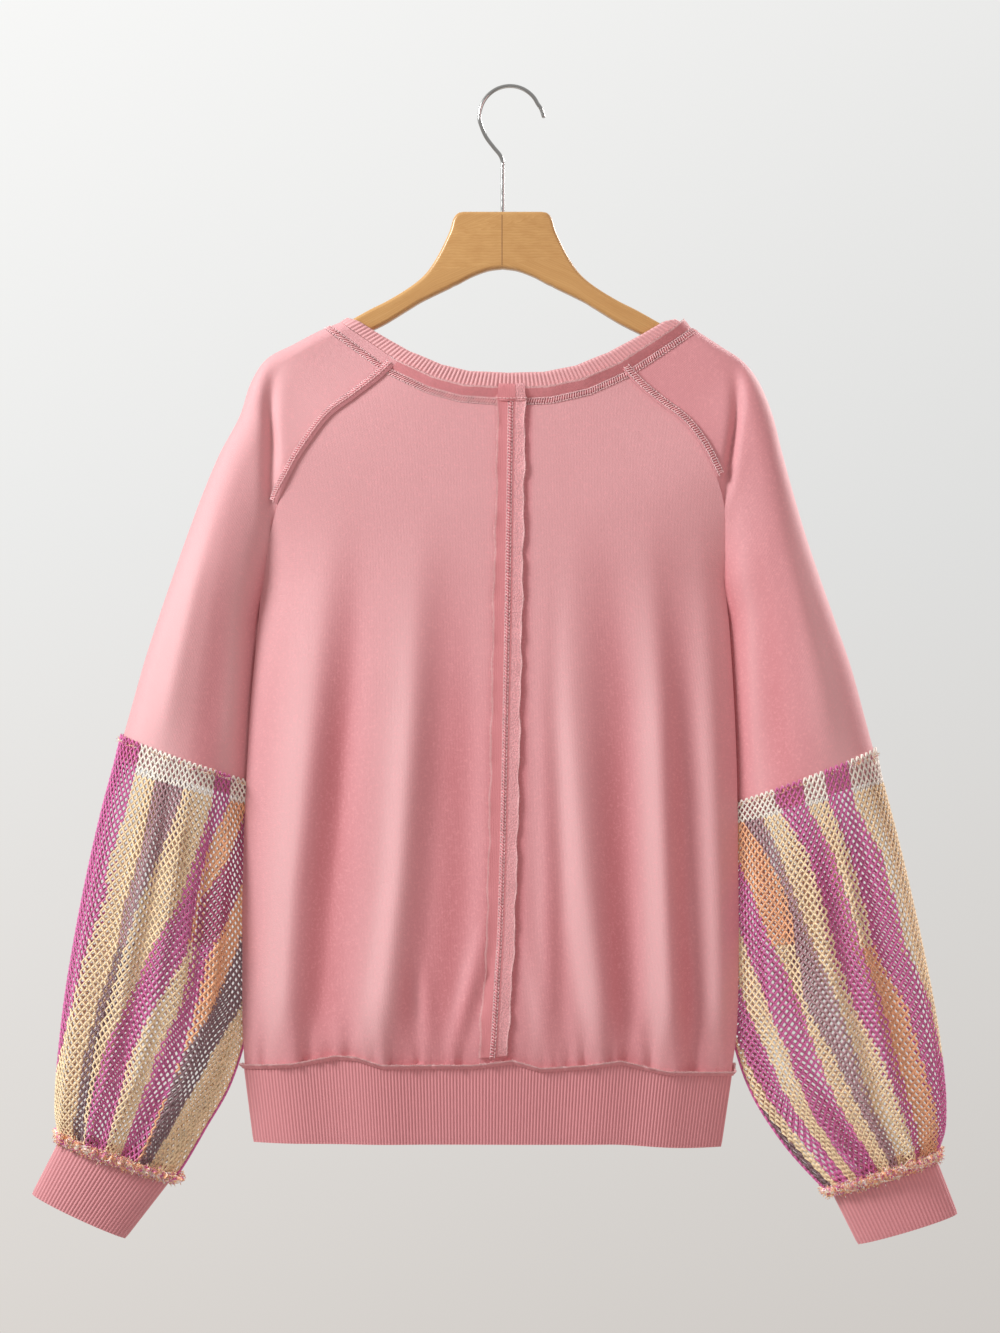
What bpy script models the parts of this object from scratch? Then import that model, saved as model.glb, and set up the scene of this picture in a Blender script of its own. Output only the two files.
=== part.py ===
"""A raglan sweatshirt with balloon lower sleeves of striped net, hung flat on a wooden hanger.

Units are millimetres until a point goes into a mesh. The origin is where the hook's inside
rests on a rail. +Z is up, +X is to the right of someone who looks at the garment's back, and
the back faces -Y. Each cloth piece is a wall made from a grid of points on its middle surface:
a row for each section of the garment, from the neck down, and a column for each step across.
"""

import math

import bpy
import numpy as np

MM = 0.001

# Cloth, in mm.
FLEECE = 1.6  # wall of the body and sleeves
RIB_KNIT = 1.8  # wall of the neck band, hem band and cuffs
NET = 1.2  # wall of the net lower sleeves
EDGING = 1.2  # wall of the seam allowances that lie on the panels
SEAM_GAP = 0.4  # between two pieces that are sewn together
LAY_GAP = 0.5  # between a panel and what lies on it
SIDE_HALF = 1.0  # half the depth of the body and sleeves at their sewn side edges

# Body.
ARMPIT_ROW = 8
NECK_MID_BACK = -248.0
NECK_MID_FRONT = -283.0  # the front neckline is cut lower
STRIP_HALF = 10.5  # half the width of the strip down the centre back seam
BACK_HALF_COLUMNS = 15
FRONT_HALF_COLUMNS = 12
SIDE_CROWDING = 1.35  # above 1, columns crowd towards the side edges
SLEEVE_STEPS = (5, 5)  # columns on each side of a sleeve, within and beyond its deepest place
NET_STEPS = (10, 9)
BODY_SQUARENESS = 3.5  # a high value keeps the body's section deep close to its sides
BODY_EDGE = 0.7  # 0.5 is a round side edge and 1 a sharp one

# Bands.
NECK_BAND_WIDTH = 13.0
NECK_BAND_WIDTH_AT_SIDE = 8.0
NECK_SIDE_NARROW, NECK_SIDE_WIDE = 4.0, 13.0  # half depths between which the band follows the arm
HANGER_SLOPE_X, HANGER_SLOPE_Z = 0.87, 0.50  # the way up along a hanger arm
HEM_BOTTOM_Z = -864.0
HEM_BOTTOM_LEFT, HEM_BOTTOM_RIGHT = -209.0, 172.0
HEM_SAG_RIGHT = 4.0
RAGLAN_STRIP_WIDTH = 9.0

# Raw edges that stand out of a seam: below it, above it, and away from the cloth.
NECK_EDGE_DOWN, NECK_EDGE_UP, NECK_EDGE_OUT, NECK_SEAM_OUT = 7.0, 2.0, 0.9, 0.3
HEM_EDGE_DOWN, HEM_EDGE_UP, HEM_EDGE_OUT, HEM_EDGE_FLARE, HEM_EDGE_WAVE = 5.0, 2.4, 1.2, 3.0, 0.8
HEM_WAVE_STEP = 2.4  # radians of the hem edge's waviness for each column
FRILL_HEIGHT, FRILL_FLARE, FRILL_WAVE, FRILL_ROOT_LIFT = 6.5, 7.5, 1.2, 1.2
FRILL_ROOT_DOWN = 1.5

# Hanger.
STEM_X = -6.0
WIRE_RADIUS = 1.65
HOOK_RADIUS = 25.0
STEM_HOLE_RADIUS = 2.0
STEM_FOOT_Z, STEM_HOLE_FOOT_Z = -120.0, -121.0
HANGER_THICKNESS = 12.5
HANGER_ROUNDING = 5.0


def table(columns, *rows):
    """One array for each named column."""
    return {name: np.array(values, float) for name, values in zip(columns.split(), zip(*rows))}


# One row for each section of a sleeve, from the neck to the net. The first nine rows start at
# the raglan seam, and the rest at the underarm seam. half is the half depth at the seam, depth
# the largest half depth, and peak where along the row that is. drop lowers the front's seam
# below the back's, groove is the crease between the body and the arm, and tuck is how far the
# inner edge lies behind the body's side.
SLEEVE_COLUMNS = "seam_x seam_z half out_x out_z depth peak sharp drop groove_at groove tuck"
LEFT_SLEEVE = table(
    SLEEVE_COLUMNS,
    (-91, -226, 12.0, -139, -193.0, 9.0, 0.83, 0.5, 17, 0.90, 0.0, 0.0),
    (-106, -240, 12.5, -156, -200.0, 9.3, 0.84, 0.5, 12, 0.90, 0.0, 0.0),
    (-125, -255, 13.5, -177, -211.0, 9.6, 0.84, 0.5, 8, 0.90, 0.0, 0.0),
    (-146, -271, 15.0, -199, -223.0, 10.5, 0.82, 0.5, 4, 0.84, 1.5, 0.0),
    (-163, -293, 17.0, -212, -243.0, 14.0, 0.75, 0.5, 1, 0.66, 5.0, 0.0),
    (-176, -314, 17.5, -221, -270.0, 17.0, 0.62, 0.5, 0, 0.42, 8.0, 0.0),
    (-189, -342, 14.0, -237, -300.0, 20.0, 0.60, 0.5, 0, 0.14, 5.0, 0.0),
    (-198, -376, 7.0, -251, -333.0, 23.0, 0.58, 0.6, 0, 0.00, 0.0, 0.0),
    (-203, -408, 1.3, -264, -368.0, 25.0, 0.55, 0.8, 0, 0.00, 0.0, 0.0),
    (-208.5, -440, 1.0, -276, -402.0, 26.0, 0.54, 1.0, 0, 0.00, 0.0, 4.0),
    (-209.5, -476, 1.0, -288, -437.0, 26.5, 0.53, 1.1, 0, 0.00, 0.0, 7.0),
    (-210.9, -512, 1.0, -299, -471.0, 27.0, 0.52, 1.1, 0, 0.00, 0.0, 9.0),
    (-213.0, -548, 1.0, -310, -510.0, 27.5, 0.51, 1.1, 0, 0.00, 0.0, 9.5),
    (-215.5, -584, 1.0, -321, -549.0, 28.0, 0.50, 1.1, 0, 0.00, 0.0, 9.5),
)
RIGHT_SLEEVE = table(
    SLEEVE_COLUMNS,
    (88, -228, 12.0, 141, -194.0, 9.0, 0.84, 0.5, 17, 0.90, 0.0, 0.0),
    (103, -245, 12.5, 156, -202.0, 9.3, 0.84, 0.5, 12, 0.90, 0.0, 0.0),
    (122, -261, 13.5, 173, -213.0, 9.6, 0.84, 0.5, 8, 0.90, 0.0, 0.0),
    (141, -276, 15.0, 190, -224.5, 10.5, 0.82, 0.5, 4, 0.84, 1.5, 0.0),
    (157, -297, 17.0, 203, -241.0, 14.0, 0.75, 0.5, 1, 0.60, 5.0, 0.0),
    (168, -320, 17.0, 214, -267.0, 17.0, 0.62, 0.5, 0, 0.24, 7.0, 0.0),
    (175, -347, 13.0, 222, -298.0, 19.0, 0.60, 0.5, 0, 0.00, 0.0, 0.0),
    (176, -378, 7.0, 231, -331.0, 21.0, 0.58, 0.6, 0, 0.00, 0.0, 0.0),
    (176, -408, 1.3, 241, -365.0, 23.0, 0.55, 0.8, 0, 0.00, 0.0, 0.0),
    (181.5, -440, 1.0, 253, -401.0, 25.0, 0.54, 1.0, 0, 0.00, 0.0, 4.0),
    (181.7, -478, 1.0, 266, -438.0, 26.0, 0.53, 1.1, 0, 0.00, 0.0, 7.0),
    (182.0, -518, 1.0, 279, -476.0, 27.0, 0.52, 1.1, 0, 0.00, 0.0, 9.0),
    (183.6, -560, 1.0, 291, -520.0, 27.5, 0.51, 1.1, 0, 0.00, 0.0, 9.5),
    (184.8, -602, 1.0, 303, -565.0, 28.0, 0.50, 1.1, 0, 0.00, 0.0, 9.5),
)

# The net lower sleeves, from their free top edge, which lies over the sleeve, to the cuff.
# pleat is the height of the gathers.
NET_COLUMNS = "seam_x seam_z half out_x out_z depth peak sharp tuck pleat"
LEFT_NET = table(
    NET_COLUMNS,
    (-212.9, -570, 2.9, -319.0, -530, 29.7, 0.50, 1.05, 9.8, 0.0),
    (-213.8, -586, 2.9, -324.0, -552, 30.0, 0.50, 1.05, 9.8, 0.0),
    (-215.0, -624, 3.0, -334.0, -589, 32.0, 0.50, 1.00, 9.8, 0.0),
    (-215.8, -666, 3.2, -344.5, -634, 34.0, 0.50, 0.95, 9.8, 0.0),
    (-216.2, -712, 3.4, -355.0, -686, 35.0, 0.50, 0.90, 9.8, 0.0),
    (-219.5, -766, 3.6, -365.0, -746, 34.5, 0.50, 0.85, 9.5, 0.3),
    (-233.0, -816, 3.6, -371.5, -805, 29.5, 0.50, 0.72, 7.2, 0.8),
    (-253.0, -853, 3.6, -373.0, -838, 23.0, 0.50, 0.60, 5.0, 1.4),
    (-270.5, -883, 3.6, -370.5, -855, 17.0, 0.50, 0.50, 3.0, 2.0),
    (-279.5, -894, 3.6, -368.5, -863, 13.0, 0.50, 0.50, 2.0, 0.0),
)
RIGHT_NET = table(
    NET_COLUMNS,
    (182.7, -588, 2.9, 300.0, -541, 29.7, 0.50, 1.05, 9.8, 0.0),
    (183.1, -604, 2.9, 305.5, -568, 30.0, 0.50, 1.05, 9.8, 0.0),
    (183.5, -642, 3.0, 316.0, -608, 32.0, 0.50, 1.00, 9.8, 0.0),
    (183.9, -682, 3.2, 327.0, -653, 34.0, 0.50, 0.95, 9.8, 0.0),
    (184.5, -728, 3.4, 338.5, -705, 35.0, 0.50, 0.90, 9.8, 0.0),
    (187.5, -776, 3.6, 349.5, -762, 34.5, 0.50, 0.85, 9.5, 0.3),
    (201.0, -822, 3.6, 356.5, -816, 29.5, 0.50, 0.72, 7.2, 0.8),
    (225.0, -862, 3.6, 357.0, -851, 23.0, 0.50, 0.60, 5.0, 1.4),
    (252.0, -893, 3.6, 352.0, -868, 17.0, 0.50, 0.50, 3.0, 2.0),
    (266.0, -905, 3.6, 348.5, -878, 13.0, 0.50, 0.50, 2.0, 0.0),
)
LEFT_CUFF = table(
    NET_COLUMNS,
    (-279.5, -894, 3.6, -368.5, -863, 13.0, 0.50, 0.50, 2.0, 0.0),
    (-316.0, -942, 3.6, -391.0, -907, 12.0, 0.50, 0.50, 0.0, 0.0),
)
RIGHT_CUFF = table(
    NET_COLUMNS,
    (266.0, -905, 3.6, 348.5, -878, 13.0, 0.50, 0.50, 2.0, 0.0),
    (286.0, -947, 3.6, 366.0, -923, 12.0, 0.50, 0.50, 0.0, 0.0),
)

# The body below the armpits: where its side edges are at each height, and its half depth.
BODY = table(
    "z left right depth",
    (-440, -206.0, 179.0, 21.0),
    (-475, -209.5, 181.5, 21.0),
    (-510, -212.5, 183.5, 20.5),
    (-545, -214.5, 185.0, 20.5),
    (-584, -216.5, 186.0, 20.0),
    (-625, -218.0, 186.5, 20.0),
    (-666, -219.0, 187.0, 20.0),
    (-707, -219.0, 187.0, 20.0),
    (-745, -219.0, 186.5, 19.5),
    (-777, -218.5, 185.0, 17.5),
    (-801, -217.0, 181.0, 14.0),
)
UPPER_BODY_DEPTH = np.array([15.0, 16.0, 17.0, 18.0, 19.0, 20.0, 20.5, 21.0, 21.0])
CENTRE_BACK = table("z x", (-248, 1.5), (-420, -1.0), (-600, -4.5), (-700, -6.5), (-801, -11.0))
NECK_LINE = table(
    "across fall",  # how much of the neckline's depth is reached at each part of its width
    (0.0, 0.0),
    (0.16, 0.62),
    (0.30, 0.92),
    (0.50, 1.0),
    (0.68, 0.93),
    (0.84, 0.62),
    (1.0, 0.0),
)
HEM_LINE = table(
    "x rise",  # the back's hem seam ripples where the gathers pull it up
    (-217, 0.0),
    (-178, 2.0),
    (-142, 9.0),
    (-124, 8.0),
    (-104, 1.5),
    (-30, 1.5),
    (2, 5.5),
    (26, -1.0),
    (63, 1.5),
    (90, 5.0),
    (128, -4.0),
    (181, -6.0),
)

# Soft folds of the body: where each ridge or trough runs, its height, and its half width.
FOLD_HEIGHTS_Z = np.array([-800.0, -650.0, -500.0, -350.0])
FOLDS = table(
    "x_low x_hip x_waist x_chest height width",
    (-193, -189, -172, -156, 5.0, 19),
    (-156, -147, -142, -128, -4.5, 18),
    (-111, -93, -88, -86, 5.5, 22),
    (-60, -46, -47, -50, -4.0, 24),
    (66, 53, 45, 41, 5.0, 20),
    (90, 87, 83, 70, -4.5, 15),
    (123, 121, 115, 100, 5.5, 17),
    (146, 139, 133, 127, -4.0, 14),
    (166, 162, 156, 148, 3.5, 13),
)
FOLD_START_Z, FOLD_FULL_Z = -320.0, -470.0
FOLD_SIDE_FADE = 26.0
FRONT_FOLD_SHARE = 0.8
BODY_MIRROR_X = -16.0  # the front's folds mirror the back's about this line

# Half of the hanger's outline: distance from the stem, upper edge and lower edge.
HANGER_EDGE = table(
    "reach upper lower",
    (0.0, -102.0, -148.5),
    (12.0, -102.0, -150.2),
    (25.0, -102.0, -155.0),
    (36.0, -102.0, -160.8),
    (40.5, -108.0, -162.8),
    (43.5, -118.0, -164.5),
    (51.5, -135.0, -168.3),
    (59.7, -148.4, -172.3),
    (67.9, -157.4, -176.5),
    (80.0, -166.3, -184.0),
    (95.0, -175.2, -193.2),
    (109.0, -182.2, -200.3),
    (123.7, -190.4, -207.5),
    (136.0, -197.2, -214.0),
    (150.0, -204.3, -221.5),
    (164.0, -211.8, -229.0),
    (174.0, -217.3, -234.0),
    (183.0, -222.5, -237.5),
)
HANGER_TIP = table("reach z", (190.0, -229.5), (189.5, -235.5))

COLOURS = {
    "fleece": ((0.73, 0.26, 0.31, 1.0), 0.92, 0.0),
    "rib": ((0.62, 0.22, 0.25, 1.0), 0.92, 0.0),
    "raw_edge": ((0.80, 0.40, 0.42, 1.0), 0.95, 0.0),
    "net": ((0.70, 0.48, 0.34, 1.0), 0.8, 0.0),
    "wood": ((0.60, 0.32, 0.11, 1.0), 0.4, 0.0),
    "steel": ((0.72, 0.72, 0.72, 1.0), 0.22, 1.0),
}


def material(name):
    colour, roughness, metallic = COLOURS[name]
    found = bpy.data.materials.get(name)
    if found:
        return found
    made = bpy.data.materials.new(name)
    made.use_nodes = True
    shader = made.node_tree.nodes["Principled BSDF"]
    shader.inputs["Base Color"].default_value = colour
    shader.inputs["Roughness"].default_value = roughness
    shader.inputs["Metallic"].default_value = metallic
    made.diffuse_color = colour
    return made


def add_object(name, data, finish):
    made = bpy.data.objects.new(name, data)
    data.materials.append(material(finish))
    bpy.context.scene.collection.objects.link(made)
    return made


def unit(vectors):
    return vectors / np.maximum(np.linalg.norm(vectors, axis=-1, keepdims=True), 1e-9)


def along(points, axis, wrap=False):
    """The direction of the grid's rows or columns at each of its points."""
    if wrap:
        return np.roll(points, -1, axis) - np.roll(points, 1, axis)
    return np.gradient(points, axis=axis)


def outward(points, wrap=False, middle_y=0.0):
    """Unit normals of a grid, away from the garment's middle plane."""
    found = unit(np.cross(along(points, 0), along(points, 1, wrap)))
    side = (found[..., 1] * (points[..., 1] - middle_y)).sum()
    return found if side > 0 else -found


def eased(normals, passes=2, wrap=False):
    """Normals averaged with their neighbours, so that a wall can't cross itself in a crease."""
    for _ in range(passes):
        sides = np.pad(normals, ((1, 1), (0, 0), (0, 0)), mode="edge")
        across = np.pad(normals, ((0, 0), (1, 1), (0, 0)), mode="wrap" if wrap else "edge")
        normals = unit(2 * normals + sides[:-2] + sides[2:] + across[:, :-2] + across[:, 2:])
    return normals


def trimmed(points, top=0.0, bottom=0.0, first=0.0, last=0.0):
    """A grid whose outer rows and columns are drawn in by these distances."""
    cut = points.copy()
    cut[0] += top * unit(cut[1] - cut[0])
    cut[-1] += bottom * unit(cut[-2] - cut[-1])
    cut[:, 0] += first * unit(cut[:, 1] - cut[:, 0])
    cut[:, -1] += last * unit(cut[:, -2] - cut[:, -1])
    return cut


def wall(name, points, normals, thickness, finish, wrap=False):
    """A closed wall of this thickness about a grid of points, in mm."""
    rows, columns = points.shape[:2]
    outer = points + normals * thickness / 2
    inner = points - normals * thickness / 2
    vertices = np.concatenate([outer.reshape(-1, 3), inner.reshape(-1, 3)]) * MM
    under = rows * columns
    flat = points.reshape(-1, 3)

    def at(row, column):
        return row * columns + column % columns

    steps = columns if wrap else columns - 1
    faces = []
    for row in range(rows - 1):
        for column in range(steps):
            a, b = at(row, column), at(row + 1, column)
            c, d = at(row + 1, column + 1), at(row, column + 1)
            if np.linalg.norm(flat[a] - flat[c]) > np.linalg.norm(flat[b] - flat[d]):
                halves = (a, b, d), (b, c, d)
            else:
                halves = (a, b, c), (a, c, d)
            for half in halves:  # both faces of the wall are split along the same diagonal
                faces.append(half)
                faces.append(tuple(corner + under for corner in reversed(half)))
    for column in range(steps):
        for row, ends in ((0, (column, column + 1)), (rows - 1, (column + 1, column))):
            start, end = at(row, ends[0]), at(row, ends[1])
            faces.append((start, end, end + under, start + under))
    if not wrap:
        for row in range(rows - 1):
            for column, ends in ((0, (row + 1, row)), (columns - 1, (row, row + 1))):
                start, end = at(ends[0], column), at(ends[1], column)
                faces.append((start, end, end + under, start + under))
    test = (columns - 1) // 2
    facing = np.cross(outer[1, test] - outer[0, test], outer[0, test + 1] - outer[0, test])
    if facing @ normals[0, test] < 0:
        faces = [tuple(reversed(face)) for face in faces]
    mesh = bpy.data.meshes.new(name)
    mesh.from_pydata(vertices.tolist(), [], faces)
    mesh.shade_smooth()
    mesh.set_sharp_from_angle(angle=math.radians(50))
    return add_object(name, mesh, finish)


def smoothstep(low, high, value):
    part = np.clip((value - low) / (high - low), 0.0, 1.0)
    return part * part * (3 - 2 * part)


def swell(edge, depth, part, sharp, power=2.0):
    """Half depth from edge, where part is 0, to depth, where it is 1."""
    rise = 1 - (1 - part) ** power
    low, high = edge ** (1 / sharp), depth ** (1 / sharp)
    return (low + (high - low) * rise) ** sharp


# --- sleeves -----------------------------------------------------------------------------


def sleeve_row(rows, i, inner_steps, outer_steps, facing):
    """One side of a sleeve's section, from its seam to its outer fold."""
    row = {name: values[i] for name, values in rows.items()}
    seam = np.array([row["seam_x"], row["seam_z"]])
    if facing > 0:
        seam[1] -= row.get("drop", 0.0)
    out = np.array([row["out_x"], row["out_z"]])
    length = np.linalg.norm(out - seam)
    first = min(RAGLAN_STRIP_WIDTH / length, row["peak"] / 2)
    inner = np.concatenate([[0.0], np.linspace(first, row["peak"], inner_steps)])
    turn = np.linspace(0, math.pi / 2, outer_steps + 1)[1:]
    outer = row["peak"] + (1 - row["peak"]) * np.sin(turn)
    part = np.concatenate([inner, outer])
    half = np.concatenate(
        [
            swell(row["half"], row["depth"], inner / row["peak"], row["sharp"]),
            row["depth"] * np.cos(turn),
        ]
    )
    if "groove" in row:
        crease = np.exp(-(((part - row["groove_at"]) * length / 8.0) ** 2))
        half = half - row["groove"] * crease * (part < 0.99)
    place = seam + part[:, None] * (out - seam)
    y = facing * half + row["tuck"] * (1 - part) ** 2
    return np.column_stack([place[:, 0], y, place[:, 1]])


def sleeve_grid(rows, inner_steps, outer_steps):
    """A sleeve as an open sheet: back seam, outer fold, front seam."""
    grid = []
    for i in range(len(rows["seam_x"])):
        back = sleeve_row(rows, i, inner_steps, outer_steps, -1)
        front = sleeve_row(rows, i, inner_steps, outer_steps, 1)
        grid.append(np.concatenate([back, front[::-1][1:]]))
    return np.array(grid)


def gathered(points, normals, rows):
    """Every other column moved out and in, as the gathers' waves."""
    wave = np.where(np.arange(points.shape[1]) % 2, 1.0, -1.0)
    return points + normals * (rows["pleat"][:, None] * wave)[..., None]


# --- body --------------------------------------------------------------------------------


def fold_height(x, z, facing):
    """How far the body's soft folds stand out of its section."""
    if facing > 0:
        x = 2 * BODY_MIRROR_X - x
    lines = np.column_stack([FOLDS[name] for name in ("x_low", "x_hip", "x_waist", "x_chest")])
    total = np.zeros_like(x)
    for line, height, width in zip(lines, FOLDS["height"], FOLDS["width"]):
        middle = np.interp(z, FOLD_HEIGHTS_Z, line)
        total += height * np.exp(-(((x - middle) / width) ** 2))
    total *= smoothstep(FOLD_START_Z, FOLD_FULL_Z, z) * (1 - 0.65 * smoothstep(-740, -800, z))
    return total * (FRONT_FOLD_SHARE if facing > 0 else 1.0)


def back_columns(left, right, z):
    """Where the back's columns cross a row: crowded at the sides, with three on the strip."""
    centre = np.interp(-z, -CENTRE_BACK["z"], CENTRE_BACK["x"])
    steps = np.linspace(0, 1, BACK_HALF_COLUMNS + 1) ** SIDE_CROWDING
    left_part = left + steps * (centre - STRIP_HALF - left)
    right_part = right + steps * (centre + STRIP_HALF - right)
    return np.concatenate([left_part, [centre], right_part[::-1]])


def front_columns(left, right, z):
    steps = np.linspace(0, 1, FRONT_HALF_COLUMNS + 1) ** SIDE_CROWDING / 2
    return left + (right - left) * np.concatenate([steps, 1 - steps[::-1][1:]])


def body_grid(facing):
    """The back where facing is -1 and the front where it is 1, neck to hem, left to right."""
    columns = back_columns if facing < 0 else front_columns
    neck_mid = NECK_MID_BACK if facing < 0 else NECK_MID_FRONT
    grid = []
    for i in range(ARMPIT_ROW + 1 + len(BODY["z"])):
        if i <= ARMPIT_ROW:
            sides = [(s["seam_x"][i], s["seam_z"][i], s["half"][i], s["drop"][i])
                     for s in (LEFT_SLEEVE, RIGHT_SLEEVE)]
            (left, left_z, left_half, left_drop), (right, right_z, right_half, right_drop) = sides
            if facing > 0:
                left_z -= left_drop
                right_z -= right_drop
            depth = UPPER_BODY_DEPTH[i]
            armpit_z = LEFT_SLEEVE["seam_z"][ARMPIT_ROW]
            middle_z = neck_mid + (armpit_z - neck_mid) * i / ARMPIT_ROW
        else:
            row = i - ARMPIT_ROW - 1
            left, right, depth = BODY["left"][row], BODY["right"][row], BODY["depth"][row]
            left_z = right_z = middle_z = BODY["z"][row]
            left_half = right_half = SIDE_HALF
        x = columns(left, right, middle_z)
        across = (x - left) / (right - left)
        ends_z = left_z + (right_z - left_z) * across
        fall = np.interp(across, NECK_LINE["across"], NECK_LINE["fall"])
        z = ends_z + (middle_z - (left_z + right_z) / 2) * fall
        if i == ARMPIT_ROW + len(BODY["z"]) and facing < 0:
            z = z + np.interp(x, HEM_LINE["x"], HEM_LINE["rise"])
        edge = np.where(across < 0.5, left_half, right_half)
        part = 1 - np.abs(2 * across - 1)
        sharp = BODY_EDGE if i >= ARMPIT_ROW else 0.5 + 0.2 * i / ARMPIT_ROW
        half = swell(edge, np.full_like(x, depth), part, sharp, BODY_SQUARENESS)
        side = np.minimum(x - left, right - x)
        half += fold_height(x, z, facing) * smoothstep(0, FOLD_SIDE_FADE, side)
        grid.append(np.column_stack([x, facing * half, z]))
    return np.array(grid)


def share_seam_normals(body, body_edge, sleeve, sleeve_edge):
    """The two sides of a raglan seam are cut along one direction, so they can't cross."""
    rows = slice(0, ARMPIT_ROW + 1)
    mean = unit(body[rows, body_edge] + sleeve[rows, sleeve_edge])
    body[rows, body_edge] = mean
    sleeve[rows, sleeve_edge] = mean


# --- pieces that lie on the panels -------------------------------------------------------


def between_rows(grid, row):
    """A row of a grid at a fractional row number."""
    low = min(int(row), len(grid) - 2)
    return grid[low] + (grid[low + 1] - grid[low]) * (row - low)


def laid(points, normals, rows, panel, thickness=EDGING):
    """Some rows of a panel, moved out to lie on it."""
    lift = panel / 2 + LAY_GAP + thickness / 2
    base = np.array([between_rows(points, row) for row in rows])
    up = unit(np.array([between_rows(normals, row) for row in rows]))
    return base + up * lift, up


def hanger_outline():
    """The hanger's outline, once round, as x and z."""
    reach, upper, lower = HANGER_EDGE["reach"], HANGER_EDGE["upper"], HANGER_EDGE["lower"]
    tip = zip(HANGER_TIP["reach"], HANGER_TIP["z"])
    right = [*zip(reach[1:], upper[1:]), *tip, *zip(reach[:0:-1], lower[:0:-1])]
    left = [(-x, z) for x, z in right[::-1]]
    outline = [*right, (0.0, lower[0]), *left, (0.0, upper[0])]
    return [(STEM_X + x, z) for x, z in outline]


def hanger_wood():
    """The shaped arms, with rounded edges and a hole for the hook's stem."""
    outline = hanger_outline()
    half = HANGER_THICKNESS / 2
    levels = [math.radians(angle) for angle in (0, 30, 60, 90)]
    inset = [HANGER_ROUNDING * (1 - math.cos(a)) for a in levels]
    depth = [half - HANGER_ROUNDING + HANGER_ROUNDING * math.sin(a) for a in levels]
    profile = [(-d, i) for d, i in zip(depth[::-1], inset[::-1])] + [*zip(depth, inset)]
    flat = np.array(outline)
    before, after = np.roll(flat, 1, 0), np.roll(flat, -1, 0)
    tangent = unit(after - before)
    inward = np.column_stack([tangent[:, 1], -tangent[:, 0]])
    vertices, faces = [], []
    count = len(flat)
    for y, step in profile:
        ring = flat + inward * step
        vertices += [(x * MM, y * MM, z * MM) for x, z in ring]
    for level in range(len(profile) - 1):
        for k in range(count):
            a, b = level * count + k, level * count + (k + 1) % count
            faces.append((a, b, b + count, a + count))
    faces.append(tuple(range(count))[::-1])
    top = (len(profile) - 1) * count
    faces.append(tuple(range(top, top + count)))
    mesh = bpy.data.meshes.new("hanger_wood")
    mesh.from_pydata(vertices, [], faces)
    mesh.shade_smooth()
    mesh.set_sharp_from_angle(angle=math.radians(40))
    wood = add_object("hanger_wood", mesh, "wood")
    bpy.ops.mesh.primitive_cylinder_add(
        vertices=24,
        radius=STEM_HOLE_RADIUS * MM,
        depth=60 * MM,
        location=(STEM_X * MM, 0, (STEM_HOLE_FOOT_Z + 30) * MM),
    )
    hole = bpy.context.object
    hole.name = "stem_hole"
    hole.hide_render = True
    hole.display_type = "WIRE"
    bore = wood.modifiers.new("stem hole", "BOOLEAN")
    bore.operation = "DIFFERENCE"
    bore.object = hole
    return wood


def smooth_path(points, step):
    """Points every step mm along a smooth curve through the given ones."""
    points = np.array(points, float)
    ends = np.concatenate([[2 * points[0] - points[1]], points, [2 * points[-1] - points[-2]]])
    dense = []
    for a, b, c, d in zip(ends, ends[1:], ends[2:], ends[3:]):
        for t in np.linspace(0, 1, 24, endpoint=False):
            dense.append(
                0.5 * (2 * b + (c - a) * t + (2 * a - 5 * b + 4 * c - d) * t**2
                       + (3 * b - a - 3 * c + d) * t**3)
            )
    dense = np.array([*dense, points[-1]])
    length = np.concatenate([[0], np.cumsum(np.linalg.norm(np.diff(dense, axis=0), axis=1))])
    places = np.linspace(0, length[-1], max(2, round(length[-1] / step)) + 1)
    return np.column_stack([np.interp(places, length, dense[:, k]) for k in range(2)])


def hanger_hook():
    """A bent wire: an open crook, and a stem that goes down into the wood."""
    centre_z = WIRE_RADIUS - HOOK_RADIUS
    crook = [
        (HOOK_RADIUS * math.cos(math.radians(a)), centre_z + HOOK_RADIUS * math.sin(math.radians(a)))
        for a in range(24, 196, 12)
    ]
    tip = [(27.6, -23.5), (25.6, -17.4)]
    neck = [(-20.0, -39.5), (-13.5, -48.5), (-8.2, -55.0), (STEM_X, -61.0), (STEM_X, -68.0)]
    route = smooth_path([*tip, *crook, *neck, (STEM_X, STEM_FOOT_Z)], 4.6)
    curve = bpy.data.curves.new("hanger_hook", "CURVE")
    curve.dimensions = "3D"
    curve.bevel_depth = WIRE_RADIUS * MM
    curve.bevel_resolution = 3
    curve.use_fill_caps = True
    spline = curve.splines.new("POLY")
    spline.points.add(len(route) - 1)
    for point, (x, z) in zip(spline.points, route):
        point.co = (x * MM, 0, z * MM, 1)
    return add_object("hanger_hook", curve, "steel")


# --- build -------------------------------------------------------------------------------


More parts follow.
